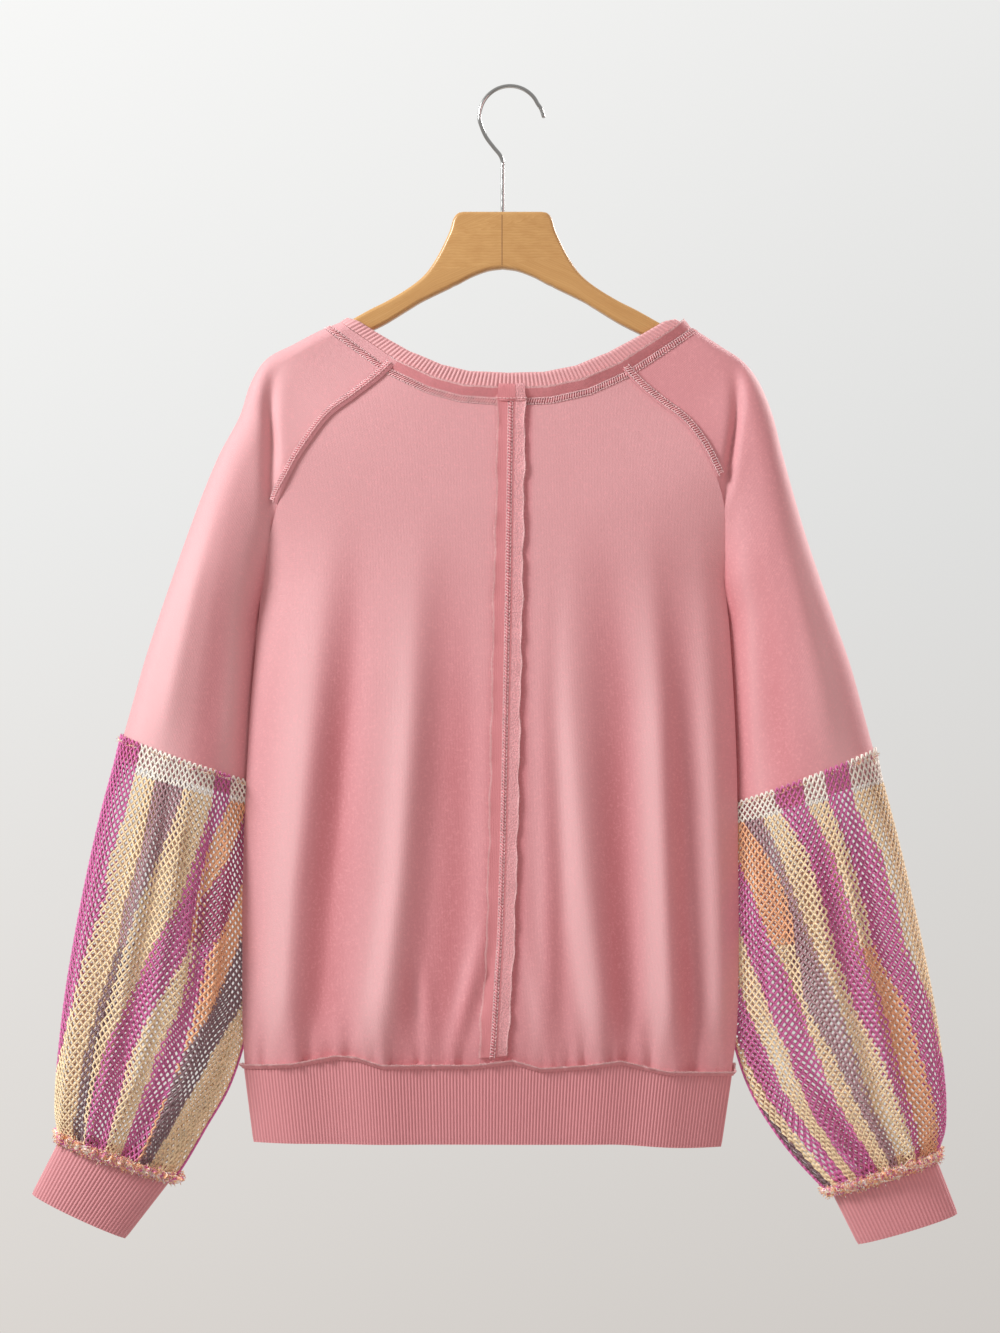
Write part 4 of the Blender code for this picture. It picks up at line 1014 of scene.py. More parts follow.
def sleeve_painted_light(side, shape):
    """Painted light on a sleeve's cloth, on both its faces: the left sleeve painted paler, a painted
    highlight on fold tops, painted shade in hollows and low down beside the body.
    """
    rows, columns = shape
    down = np.linspace(0, 1, rows)[:, None]
    part = np.abs(np.linspace(-1, 1, columns))[None]
    folds = sleeve_folds(np.broadcast_to(part, shape) + SLEEVE_PAINTED_LIGHT_LEAN, down)
    tone = SLEEVE_PAINTED_LIGHT[side] + folds / SLEEVE_PAINTED_LIGHT_HEIGHT
    tone -= UNDERARM_SHADE * smoothstep(0.84, 1.0, part) * smoothstep(0.5, 0.7, down)
    return np.clip(tone, -1.0, 1.0)


def gathers(x, z, facing):
    """The short waves above the hem seam."""
    total = np.zeros_like(x)
    for pitch, height, phase, reach in zip(*GATHER_WAVES.values()):
        swing = 0.8 * np.sin(x / 53 + facing)
        wave = height * np.sin(2 * math.pi * x / pitch + phase + swing + facing)
        patches = 0.6 + 0.4 * np.sin(x / (2.3 * pitch) + 1.3 * facing)
        total += wave * patches * smoothstep(-801 + reach, -799, z)
    return total


def body_rows(facing):
    """Each table row of the body: sides, half depths and heights, as named arrays."""
    neck_mid = NECK_MID_BACK if facing < 0 else NECK_MID_FRONT
    upper = ARMPIT_ROW + 1
    share = np.arange(upper) / ARMPIT_ROW
    armpit_z = LEFT_SLEEVE["seam_z"][ARMPIT_ROW]
    front = 1.0 if facing > 0 else 0.0
    drop = [front * sleeve["drop"][:upper] for sleeve in (LEFT_SLEEVE, RIGHT_SLEEVE)]
    low = len(BODY["z"])
    zeros = np.full(low, SIDE_HALF)
    return {
        "left": np.concatenate([LEFT_SLEEVE["seam_x"][:upper], BODY["left"]]),
        "right": np.concatenate([RIGHT_SLEEVE["seam_x"][:upper], BODY["right"]]),
        "left_z": np.concatenate([LEFT_SLEEVE["seam_z"][:upper] - drop[0], BODY["z"]]),
        "right_z": np.concatenate([RIGHT_SLEEVE["seam_z"][:upper] - drop[1], BODY["z"]]),
        "left_half": np.concatenate([LEFT_SLEEVE["half"][:upper], zeros]),
        "right_half": np.concatenate([RIGHT_SLEEVE["half"][:upper], zeros]),
        "depth": np.concatenate([UPPER_BODY_DEPTH, BODY["depth"]]),
        "middle_z": np.concatenate([neck_mid + (armpit_z - neck_mid) * share, BODY["z"]]),
        "sharp": np.concatenate([0.5 + 0.2 * share[:-1], np.full(low + 1, BODY_EDGE)]),
        "hem": np.concatenate([np.zeros(upper + low - 1), [1.0]]),
    }


def body_grid(facing):
    """The back where facing is -1 and the front where it is 1, neck to hem, left to right."""
    rows = body_rows(facing)
    count = len(rows["left"])
    places = np.linspace(0, count - 1, (count - 1) * BODY_FINENESS + 1)
    fine = {name: between(values, places) for name, values in rows.items()}
    fine["hem"] = np.interp(places, np.arange(count), rows["hem"])
    grid = []
    for i in range(len(places)):
        r = {name: values[i] for name, values in fine.items()}
        if facing < 0:
            centre = np.interp(-r["middle_z"], -CENTRE_BACK["z"], CENTRE_BACK["x"])
            steps = np.linspace(0, 1, BACK_HALF_COLUMNS + 1)
            left_part = r["left"] + steps * (centre - r["left"])
            right_part = centre + steps * (r["right"] - centre)
            x = np.concatenate([left_part, right_part[1:]])
        else:
            x = np.linspace(r["left"], r["right"], FRONT_COLUMNS + 1)
        across = (x - r["left"]) / (r["right"] - r["left"])
        ends_z = r["left_z"] + (r["right_z"] - r["left_z"]) * across
        fall = np.interp(across, NECK_LINE["across"], NECK_LINE["fall"])
        z = ends_z + (r["middle_z"] - (r["left_z"] + r["right_z"]) / 2) * fall
        if facing < 0:
            z = z + r["hem"] * np.interp(x, HEM_LINE["x"], HEM_LINE["rise"])
        edge = np.where(across < 0.5, r["left_half"], r["right_half"])
        part = 1 - np.abs(2 * across - 1)
        half = swell(edge, np.full_like(x, r["depth"]), part, r["sharp"], BODY_SQUARENESS)
        side = np.minimum(x - r["left"], r["right"] - x)
        fade = smoothstep(0, FOLD_SIDE_FADE, side)
        half += fold_height(x, z, facing) * fade
        half += gathers(x, z, facing) * smoothstep(0, GATHER_SIDE_FADE, side)
        grid.append(np.column_stack([x, facing * half, z]))
    return np.array(grid)


# --- pieces --------------------------------------------------------------------------------


def garment(piece, nodes):
    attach(piece, "root")
    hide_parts(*nodes)
    return piece


def knit_uv(points, origin):
    """Cloth coordinates in mm: across from the origin column, and down from the top row."""
    across = lengths(points, 1)
    across = across - across[:, origin : origin + 1]
    down = np.broadcast_to(lengths(points, 0)[:, origin : origin + 1], across.shape)
    return np.stack([across, down], -1)


def build_panels(parts, fleece):
    back, front, sleeves = parts["back"], parts["front"], parts["sleeves"]
    ups = parts["ups"]
    gap = SEAM_SHOWS / 2
    middle = BACK_HALF_COLUMNS
    for side, columns, origin in (
        ("left", slice(0, middle + 1), middle),
        ("right", slice(middle, None), 0),
    ):
        cut = trimmed(back[:, columns], gap, gap, gap, gap)
        uv = knit_uv(back[:, columns], origin)
        tone = body_painted_light(cut, -1)
        up = ups["back"][:, columns]
        piece = wall(f"back_panel_{side}", cut, up, FLEECE, fleece, uv=uv, tone=tone)
        garment(piece, [f"back_{side}"])
    cut = trimmed(front, gap, gap, gap, gap)
    uv = knit_uv(front, FRONT_COLUMNS // 2)
    tone = body_painted_light(cut, 1)
    piece = wall("front_panel", cut, ups["front"], FLEECE, fleece, uv=uv, tone=tone)
    garment(piece, ["front"])
    for side, grid in sleeves.items():
        cut = trimmed(grid, gap, 0.0, gap, gap)
        uv = knit_uv(grid, grid.shape[1] // 2)
        tone = sleeve_painted_light(side, cut.shape[:2])
        piece = wall(f"sleeve_panel_{side}", cut, ups[side], FLEECE, fleece, uv=uv, tone=tone)
        garment(piece, [f"sleeve_{side}"])


def ribbed_ring(name, top, bottom, normals, rows, finish, pitch, thickness=RIB_KNIT):
    """A ribbed tube between two closed outlines, with a rounded free edge at its bottom."""
    loop = np.concatenate([top, top[:1]])
    far = np.concatenate([[0], np.cumsum(np.linalg.norm(np.diff(loop, axis=0), axis=1))])
    ribs = round(far[-1] / pitch)
    columns = ribs * RIB_SAMPLES
    places = np.linspace(0, far[-1], columns + 1)[:-1]
    where = np.interp(places, far, np.arange(len(loop)))
    start, end = on_line(top, where, True), on_line(bottom, where, True)
    up = [unit(on_line(n, where, True)) for n in normals]
    phase = np.arange(columns) / RIB_SAMPLES
    wave = RIB_HEIGHT * np.cos(2 * math.pi * phase)
    outer, inner = [], []
    height = np.linalg.norm(end - start, axis=1).mean()
    for part in np.linspace(0, 1, rows):
        base = start + (end - start) * part
        lean = unit(up[0] * (1 - part) + up[1] * part)
        turned = smoothstep(1 - RIB_EDGE_ROUNDING / height, 1.02, part)
        rounding = math.sqrt(max(0.0, 1 - turned**2))
        pinch = 1 - 0.5 * smoothstep(RIB_SEAM_PINCH / height, 0.0, part)
        out = (thickness / 2) * rounding
        outer.append(base + lean * (out + wave * pinch * (0.4 + 0.6 * rounding))[:, None])
        inner.append(base - lean * (thickness / 2 * rounding + 0.05))
    outer, inner = np.array(outer), np.array(inner)
    down = np.linspace(0, height, rows)
    u = np.arange(columns + 1) / RIB_SAMPLES
    uv = np.stack(np.meshgrid(u, down), -1)
    return shell(name, outer, inner, finish, True, uv, smooth=80)


def eased(values, passes):
    """A closed ring of values, each drawn towards its neighbours this many times."""
    for _ in range(passes):
        values = 0.25 * np.roll(values, 1, 0) + 0.5 * values + 0.25 * np.roll(values, -1, 0)
    return values


def hem_outline(parts):
    """The ring at the hem seam without the panels' small gathers, and its level normals."""
    top = np.concatenate([parts["back"][-1], parts["front"][-1][::-1]])
    normals = np.concatenate([parts["ups"]["back"][-1], parts["ups"]["front"][-1][::-1]])
    top[:, 1] = eased(top[:, 1], HEM_OUTLINE_PASSES)
    return top, unit(eased(unit(normals * [1, 1, 0]), HEM_NORMAL_PASSES))


def build_hem(parts, rib):
    top, flat_up = hem_outline(parts)
    left, right = top[:, 0].min(), top[:, 0].max()
    across = (top[:, 0] - left) / (right - left)
    bottom = top.copy()
    bottom[:, 0] = HEM_BOTTOM_LEFT + (HEM_BOTTOM_RIGHT - HEM_BOTTOM_LEFT) * across
    bottom[:, 2] = HEM_BOTTOM_Z - HEM_SAG_RIGHT * smoothstep(0.75, 0.95, across)
    piece = ribbed_ring(
        "hem_rib", top - [0, 0, SEAM_GAP], bottom, [flat_up, flat_up], BAND_ROWS, rib, HEM_RIB_PITCH,
    )
    garment(piece, ["hem_band"])


def net_surface(rows):
    """The net's middle surface, its normals, and how far each point is from the outer fold."""
    fine = refined(rows, NET_FINENESS)
    grid = sleeve_grid(fine, *NET_STEPS)[:, :-1]
    up = outward(grid, True)
    out_x, seam_x = fine["out_x"][:, None], fine["seam_x"][:, None]
    part = (grid[..., 0] - out_x) / (seam_x - out_x)
    down = np.linspace(0, 1, len(grid))[:, None]
    bulge = np.zeros(part.shape)
    for top, middle, low, height, width in zip(*NET_FOLDS.values()):
        at = np.interp(down, [0, 0.5, 1], [top, middle, low])
        bulge += height * np.exp(-(((part - at) / width) ** 2))
    bulge *= smoothstep(0.05, 0.35, down) * smoothstep(0, 0.08, part) * smoothstep(1.0, 0.9, part)
    pleat = np.sin(part * 2 * math.pi * NET_PLEATS) * NET_PLEAT_HEIGHT
    pleat = pleat * smoothstep(0.72, 0.97, down)
    grid = grid + up * (bulge + pleat)[..., None]
    return grid, outward(grid, True), part


def stripe_of(part, z, edges):
    """Which stripe each place of the net is in."""
    found = np.zeros(len(part), int)
    for name, edge in edges.items():
        if name != "z":
            found += part > np.interp(-z, -edges["z"], edge)
    return found


def net_strands(grid, up, part):
    """Each strand's ends, the way out of the cloth there, its part of the way from the outer
    fold to the seam, and its row."""
    down, _ = even(grid.mean(1), NET_ROWS + 1)
    round_places, _ = even(grid[len(grid) // 2], NET_CELLS_ROUND * NET_RING_SAMPLES, True)
    ring = np.append(round_places, grid.shape[1])
    cells = np.meshgrid(np.arange(NET_ROWS), np.arange(NET_CELLS_ROUND), indexing="ij")
    j, i = [v.ravel() for v in cells]
    starts, ends, normals, parts = [], [], [], []
    for turn in (-0.5, 0.5):
        a = (i + (j % 2) * 0.5) % NET_CELLS_ROUND
        b = (a + turn) % NET_CELLS_ROUND
        half = (a + turn / 2) % NET_CELLS_ROUND
        a, b, half = [
            np.interp(v * NET_RING_SAMPLES, np.arange(len(ring)), ring) for v in (a, b, half)
        ]
        starts.append(read(grid, down[j], a, True))
        ends.append(read(grid, down[j + 1], b, True))
        normals.append(unit(read(up, down[j], half, True)))
        parts.append(read(part[..., None], (down[j] + down[j + 1]) / 2, half, True)[:, 0])
    return *[np.concatenate(v) for v in (starts, ends, normals, parts)], np.tile(j, 2)


def strand_colours(z, parts, row, stripes, edges):
    """Each strand's place in STRIPE_COLOURS, and whether its yarn is a thick one."""
    order = list(STRIPE_COLOURS)
    upper, lower = [np.array([order.index(name) for name in names.split()]) for names in stripes]
    kind = stripe_of(parts, z, edges)
    colour = np.where(z > STRIPE_CHANGE_Z, upper[kind], lower[kind])
    dense = np.isin(colour, [order.index("cream"), order.index("peach")])
    turned = (row < NET_TURNED_ROWS) & (colour != order.index("magenta"))
    return np.where(turned, order.index("pale"), colour), dense


def build_net(side, rows, stripes, edges, yarns):
    grid, up, part = net_surface(rows)
    starts, ends, normals, parts, row = net_strands(grid, up, part)
    z = (starts[:, 2] + ends[:, 2]) / 2
    colour, dense = strand_colours(z, parts, row, stripes, edges)
    narrow = np.linalg.norm(ends - starts, axis=1) / NET_FULL_STRAND
    radius = NET_YARN * np.where(dense, NET_DENSE, 1.0) * np.clip(narrow, 0.6, 1.0)
    radius = radius * rng.uniform(0.94, 1.06, len(z))
    reach = unit(ends - starts) * NET_OVERLAP
    points, faces = bars(
        starts - reach, ends + reach, radius, 3, NET_WAIST, 2, up=normals, flatness=NET_FLATNESS,
    )
    piece = add_mesh(
        f"net_sleeve_{side}", points, faces, [yarns[name] for name in STRIPE_COLOURS],
        finish_of=np.repeat(colour, len(faces) // len(colour)), smooth=180,
    )
    garment(piece, [f"net_{side}"])
    build_net_ends(side, grid, up, yarns)


def build_net_ends(side, grid, up, yarns):
    """The cut ends along the net's top edge, and the stitched seam down its inner edge."""
    loop, out = grid[2], up[2]
    away = unit(grid[0] - grid[6])
    ends = fibres(loop, out, away, NET_END_COUNT, NET_END_LENGTH, NET_END_THICKNESS)
    seam = grid[NET_SEAM_ROW:, 0] + up[NET_SEAM_ROW:, 0] * 0.8
    cord = bars(seam[:-1], seam[1:], np.full(len(seam) - 1, NET_SEAM_RADIUS), 6)
    points, faces = joined([ends, cord])
    kinds = rng.integers(0, 4, 2 * NET_END_COUNT).repeat(FIBRE_FACES)
    finish_of = np.concatenate([kinds, np.zeros(len(cord[1]), int)])
    finishes = [yarns[name] for name in ("magenta", "peach", "cream", "pale")]
    piece = add_mesh(f"net_ends_{side}", points, faces, finishes, finish_of=finish_of, smooth=180)
    return garment(piece, [f"net_{side}"])


def build_cuff(side, rows, rib):
    grid = sleeve_grid(refined(rows, CUFF_FINENESS), *CUFF_STEPS)
    up = outward(grid, True)
    top = grid[0] + unit(grid[-1] - grid[0]) * SEAM_GAP
    piece = ribbed_ring(
        f"cuff_rib_{side}", top, grid[-1], [up[0], up[-1]], BAND_ROWS, rib, CUFF_RIB_PITCH,
    )
    garment(piece, [f"cuff_{side}"])


def neck_loop(row, back, front, sleeves):
    """One row of the four pieces round the neck: left shoulder, back, right shoulder, front."""
    fold = sleeves["left"].shape[1] // 2
    left, right = sleeves["left"][row], sleeves["right"][row]
    return np.concatenate(
        [
            left[fold:0:-1],
            back[row],
            right[1:-1],
            front[row][::-1],
            left[-2:fold:-1],
        ]
    )


def neck_frame(parts):
    """The neck seam, the way up out of it, and its normals."""
    back, front, sleeves, ups = parts["back"], parts["front"], parts["sleeves"], parts["ups"]
    edge = neck_loop(0, back, front, sleeves)
    below = neck_loop(BODY_FINENESS, back, front, sleeves)
    normals = neck_loop(0, ups["back"], ups["front"], {"left": ups["left"], "right": ups["right"]})
    rise = unit(edge - below)
    at_side = smoothstep(NECK_SIDE_WIDE, NECK_SIDE_NARROW, np.abs(edge[:, 1]))[:, None]
    along_wood = np.zeros_like(edge)
    along_wood[:, 0] = -np.sign(edge[:, 0]) * HANGER_SLOPE_X
    along_wood[:, 2] = HANGER_SLOPE_Z
    rise = unit(rise * (1 - at_side) + along_wood * at_side)
    width = NECK_BAND_WIDTH + (NECK_BAND_WIDTH_AT_SIDE - NECK_BAND_WIDTH) * at_side
    return edge, below, rise, width, normals


def build_neck(parts, rib):
    edge, _, rise, width, normals = neck_frame(parts)
    top = edge + rise * width
    band = np.array([top, edge + rise * SEAM_GAP])
    up = unit(outward(band, True) + normals)
    piece = ribbed_ring(
        "neck_rib", band[1], band[0], [normals, up[0]], NECK_BAND_ROWS, rib, NECK_RIB_PITCH,
    )
    garment(piece, ["neck_band"])


def hanger_outline():
    """The hanger's outline, once round, as x and z, smoothed between the frame's points."""
    reach, upper, lower = HANGER_EDGE["reach"], HANGER_EDGE["upper"], HANGER_EDGE["lower"]
    last = len(reach) - 1
    smooth = (last - HANGER_TOP_ROWS) * HANGER_FINENESS + 1
    places = np.linspace(HANGER_TOP_ROWS, last, smooth)
    top = np.column_stack([between(reach, places), between(upper, places)])
    places = np.linspace(0, last, last * HANGER_FINENESS + 1)
    low = np.column_stack([between(reach, places), between(lower, places)])[1:]
    right = np.concatenate([HANGER_CORNER, top, HANGER_END, low[::-1]])
    left = right[::-1] * [-1, 1]
    outline = np.concatenate([right, [(0.0, lower[0])], left, [(0.0, upper[0])]])
    return outline + [STEM_X, 0]


def closed_tube(name, rings, finish, turned=False):
    """A piece between rings of points, with one face over each end."""
    rows, count = rings.shape[:2]
    faces = []
    for r in range(rows - 1):
        for k in range(count):
            a, b = r * count + k, r * count + (k + 1) % count
            faces.append((a, a + count, b + count, b) if turned else (a, b, b + count, a + count))
    first = tuple(range(count))
    last = tuple(range((rows - 1) * count, rows * count))
    faces += [first, last[::-1]] if turned else [first[::-1], last]
    mesh = bpy.data.meshes.new(name)
    mesh.from_pydata((rings.reshape(-1, 3) * MM).tolist(), [], faces)
    mesh.shade_smooth()
    mesh.materials.append(finish)
    piece = bpy.data.objects.new(name, mesh)
    bpy.context.scene.collection.objects.link(piece)
    return piece


def add_grain(mesh, points):
    """Coordinates in mm along and across each arm, for the wood's grain."""
    corner = np.zeros(len(mesh.loops), np.int32)
    mesh.loops.foreach_get("vertex_index", corner)
    x = points[:, 0] - STEM_X
    far = np.abs(x)
    middle = np.interp(far, HANGER_EDGE["reach"], (HANGER_EDGE["upper"] + HANGER_EDGE["lower"]) / 2)
    middle = np.where(far < GRAIN_JOIN, np.interp(far, [0, GRAIN_JOIN], GRAIN_HEIGHTS), middle)
    across = points[:, 2] - middle + GRAIN_LEAN * points[:, 1]
    uv = np.column_stack([x + np.where(x < 0, GRAIN_APART, 0.0), across])
    layer = mesh.uv_layers.new(name="cloth")
    layer.data.foreach_set("uv", uv[corner].astype(np.float32).ravel())


def build_arms(wood):
    outline = hanger_outline()
    half = HANGER_THICKNESS / 2
    tangent = unit(np.roll(outline, -1, 0) - np.roll(outline, 1, 0))
    inward = np.column_stack([tangent[:, 1], -tangent[:, 0]])
    rings = []
    for angle in np.linspace(-90, 90, HANGER_RINGS):
        a = math.radians(abs(angle))
        step = HANGER_ROUNDING * (1 - math.cos(a))
        depth = half - HANGER_ROUNDING + HANGER_ROUNDING * math.sin(a)
        ring = outline + inward * step
        y = np.full(len(ring), depth if angle > 0 else -depth)
        rings.append(np.column_stack([ring[:, 0], y, ring[:, 1]]))
    rings = np.array(rings)
    arms = closed_tube("hanger_arms", rings, wood)
    arms.data.set_sharp_from_angle(angle=math.radians(40))
    add_grain(arms.data, rings.reshape(-1, 3))
    garment(arms, ["hanger_wood"])


def build_joint(glue):
    """The glue line between the two arms."""
    y = 0.1 - HANGER_THICKNESS / 2
    ends = np.array([[HANGER_JOINT_X, y, z] for z in (HANGER_JOINT_TOP, HANGER_JOINT_FOOT)])
    joint = bars(ends[:1], ends[1:], np.array([0.3]), 6)
    garment(add_mesh("hanger_joint", *joint, glue), ["hanger_wood"])


def build_hook(steel):
    centre_z = WIRE_RADIUS - HOOK_RADIUS
    turns = np.radians(np.arange(*HOOK_TURNS))
    crook = [(HOOK_RADIUS * math.cos(a), centre_z + HOOK_RADIUS * math.sin(a)) for a in turns]
    route = np.array([*HOOK_TIP, *crook, *HOOK_NECK, (STEM_X, STEM_FOOT_Z)])
    fine = between(route, np.linspace(0, len(route) - 1, HOOK_POINTS))
    centre = np.column_stack([fine[:, 0], np.zeros(len(fine)), fine[:, 1]])
    way = unit(np.gradient(centre, axis=0))
    angles = np.linspace(0, 2 * math.pi, WIRE_SIDES + 1)[:-1]
    rings = []
    for middle, side in zip(centre, np.cross(way, [0, 1, 0])):
        circle = np.outer(np.cos(angles), side) + np.outer(np.sin(angles), [0, 1, 0])
        rings.append(middle + WIRE_RADIUS * circle)
    rings = np.array(rings)
    first = rings[0] - centre[0]
    cap = [centre[0] - way[0] * ahead + first * size for ahead, size in WIRE_END]
    wire = closed_tube("hanger_wire", np.concatenate([cap, rings]), steel, True)
    garment(wire, ["hanger_hook"])


# --- seam pieces ---------------------------------------------------------------------------


def cover_stitch(line, up, way_across, width, pitch=2.8, thick=0.42, lift=0.3):
    """Two rows of stitches along a line on the cloth, slanted threads between them, and a flat dark
    band under them: painted shade for the groove that they pull into the cloth."""
    rows = [
        stitches(line + way_across * width / 2 * side, up, pitch, STITCH_LENGTH, thick, lift)
        for side in (-1, 1)
    ]
    _, far = even(line, 2)
    count = max(4, int(far / (pitch * 0.72)))
    places, _ = even(line, count)
    step = pitch * 0.35 / far * (len(line) - 1)
    high = on_line(up, places) * (lift + 0.05)
    start = on_line(line - way_across * width / 2, places - step) + high
    end = on_line(line + way_across * width / 2, places + step) + high
    cross = bars(start, end, np.full(count, 0.9 * thick), 5, 1.1, 2)
    steps, _ = even(line, count)
    bed = on_line(line, steps)
    half = np.full(count - 1, width / 2 + 0.5)
    above = on_line(up, steps)[:-1]
    shade_ribbon = bars(bed[:-1], bed[1:], half, 4, up=above, flatness=0.05)
    return joined([*rows, cross]), shade_ribbon


def on_cloth(grid, up, rows, columns, height=FLEECE / 2):
    """Points and normals on a panel's outer face."""
    normal = unit(read(up, rows, columns))
    return read(grid, rows, columns) + normal * height, normal


def neck_path(parts, distance, height):
    """A line on the shoulders and back this far below the neck seam."""
    points, normals = [], []
    sleeves, ups = parts["sleeves"], parts["ups"]
    fold = sleeves["left"].shape[1] // 2
    for grid, up, columns in (
        (sleeves["left"], ups["left"], np.arange(fold - 1, 0, -1)),
        (parts["back"], ups["back"], np.arange(parts["back"].shape[1])),
        (sleeves["right"], ups["right"], np.arange(1, fold)),
    ):
        far = lengths(grid, 0)
        rows = np.array([np.interp(distance, far[:, c], np.arange(len(grid))) for c in columns])
        found = on_cloth(grid, up, rows, columns.astype(float), height)
        points.append(found[0])
        normals.append(found[1])
    return np.concatenate(points), np.concatenate(normals)


def add_sewing(name, groups, finishes, node):
    """Threads or fibres as one piece. Each group has the finish in its place, or the first."""
    points, faces = joined(groups)
    count = len(finishes)
    kinds = np.concatenate([np.full(len(g[1]), min(k, count - 1)) for k, g in enumerate(groups)])
    piece = add_mesh(name, points, faces, finishes, finish_of=kinds, smooth=180)
    return garment(piece, [node])


def strip_surface(back, up):
    """The centre strip's points and normals, and its coordinates across and down."""
    inset = STRIP_INSET * BODY_FINENESS
    places = np.linspace(inset, len(back) - 1 - inset, STRIP_STEPS)
    x_step = np.linspace(-STRIP_HALF - STRIP_CURL, STRIP_HALF + STRIP_CURL, STRIP_COLUMNS)
    centre = read(back, places, np.full(len(places), float(BACK_HALF_COLUMNS)))
    near = read(back, places, np.full(len(places), BACK_HALF_COLUMNS + 1.0))
    pitch = np.abs(near[:, 0] - centre[:, 0])
    columns = BACK_HALF_COLUMNS + x_step[None] / pitch[:, None]
    row = np.broadcast_to(places[:, None], columns.shape)
    base, normal = read(back, row, columns), unit(read(up, row, columns))
    middle = STRIP_COLUMNS // 2
    down = lengths(base, 0)[:, middle : middle + 1]
    ripple = 0.5 * np.sin(down / 7.3) + 0.4 * np.sin(down / 3.1 + 1)
    edge = (np.abs(x_step) / x_step[-1])[None] ** 4
    sway = np.sign(x_step)[None] * edge * (0.5 * np.sin(down / 9 + 2) + 0.4 * np.sin(down / 4.2))
    points = base + normal * (ON_FLEECE + 0.1 + edge * (0.6 + 0.7 * ripple))[..., None]
    points[..., 0] += sway
    return points, normal, np.stack(np.broadcast_arrays(x_step, down), -1)


def build_centre_strip(parts, raw, thread, furrow_shade, fuzz):
    """The raw-edged strip down the centre back."""
    points, normal, uv = strip_surface(parts["back"], parts["ups"]["back"])
    piece = wall("centre_back_strip", points, normal, EDGING, raw["strip"], uv=uv)
    garment(piece, ["centre_strip"])
    middle = STRIP_COLUMNS // 2
    across = unit(points[:, middle + 1] - points[:, middle - 1])
    face = points[:, middle] + normal[:, middle] * EDGING / 2
    sewn = cover_stitch(
        face - across, normal[:, middle], across, 3.6, pitch=3.3, thick=0.36, lift=0.1,
    )
    sewing = add_sewing("strip_stitches", sewn, [thread, furrow_shade], "centre_strip")
    loose = []
    for column in (0, -1):
        edge, above = points[:, column], normal[:, column]
        out = unit(edge - points[:, middle])
        loose.append(fibres(edge, above, out, STRIP_FUZZ, FUZZ_LENGTH, FUZZ_THICKNESS))
    hair = add_sewing("strip_fuzz", loose, [fuzz], "centre_strip")
    build_tab(parts, raw, thread)


def build_raglan_seam(side, parts, fleece, thread, furrow_shade):
    """The flat seam beside a raglan, with its cover stitch."""
    last, puff, aside, width, cut_length = RAGLAN_SEAMS[side]
    grid, up = parts["sleeves"][side], parts["ups"][side]
    first_row, last_row = RAGLAN_INSET * SLEEVE_FINENESS, last * SLEEVE_FINENESS
    places = np.linspace(first_row, last_row, RAGLAN_STEPS)
    steps = np.linspace(0.0, RAGLAN_WIDTH, RAGLAN_COLUMNS)
    first = read(grid, places, np.zeros(len(places)))
    second = read(grid, places, np.ones(len(places)))
    pitch = np.linalg.norm(second - first, axis=1)
    columns = steps[None] / pitch[:, None]
    row = np.broadcast_to(places[:, None], columns.shape)
    base, normal = read(grid, row, columns), unit(read(up, row, columns))
    roll = np.sin(math.pi * np.clip(steps / 6.5, 0, 1))[None] * puff
    sunk = smoothstep(6.0, RAGLAN_WIDTH, steps)[None] * 1.2
    points = base + normal * (ON_FLEECE - 0.2 + roll - sunk)[..., None]
    middle = RAGLAN_COLUMNS // 2
    uv = knit_uv(points, middle)
    piece = wall(f"raglan_seam_{side}", points, normal, EDGING, fleece, uv=uv)
    garment(piece, [f"raglan_strip_{side}"])
    across = unit(points[:, middle + 2] - points[:, middle - 2])
    line = points[:, middle] + normal[:, middle] * EDGING / 2 + across * aside
    sewn = cover_stitch(line, normal[:, middle], across, width)
    node = f"raglan_strip_{side}"
    sewing = add_sewing(f"raglan_stitches_{side}", sewn, [thread, furrow_shade], node)


def build_tab(parts, raw, thread):
    """The strip's folded end, sewn down over the neck's raw edge."""
    edge, below, rise, _, normals = neck_frame(parts)
    fold = parts["sleeves"]["left"].shape[1] // 2
    middle = fold + BACK_HALF_COLUMNS
    pitch = np.linalg.norm(edge[middle + 1] - edge[middle])
    steps = np.linspace(-STRIP_HALF, STRIP_HALF, 17)
    places = middle + steps / pitch
    line, way, out, under = [on_line(v, places) for v in (edge, rise, normals, unit(below - edge))]
    grid = []
    for drop, off in NECK_TAB:
        droop = 0.35 * np.sin(steps / 2.1 + drop)
        base = line + (way * -drop if drop < 0 else under * drop)
        grid.append(base + out * (off + droop)[:, None])
    grid = np.array(grid)
    normal = np.broadcast_to(unit(out), grid.shape)
    uv = np.stack(np.broadcast_arrays(steps[None] * 0.9, lengths(grid, 0)), -1)
    tab = wall("strip_tab", grid, normal, EDGING, raw["strip"], uv=uv)
    garment(tab, ["centre_strip"])
    sewn = stitches(grid[4] + normal[4] * EDGING / 2, normal[4], 2.6, 1.9, 0.42, 0.2)
    return [tab, add_sewing("tab_stitches", [sewn], [thread], "centre_strip")]


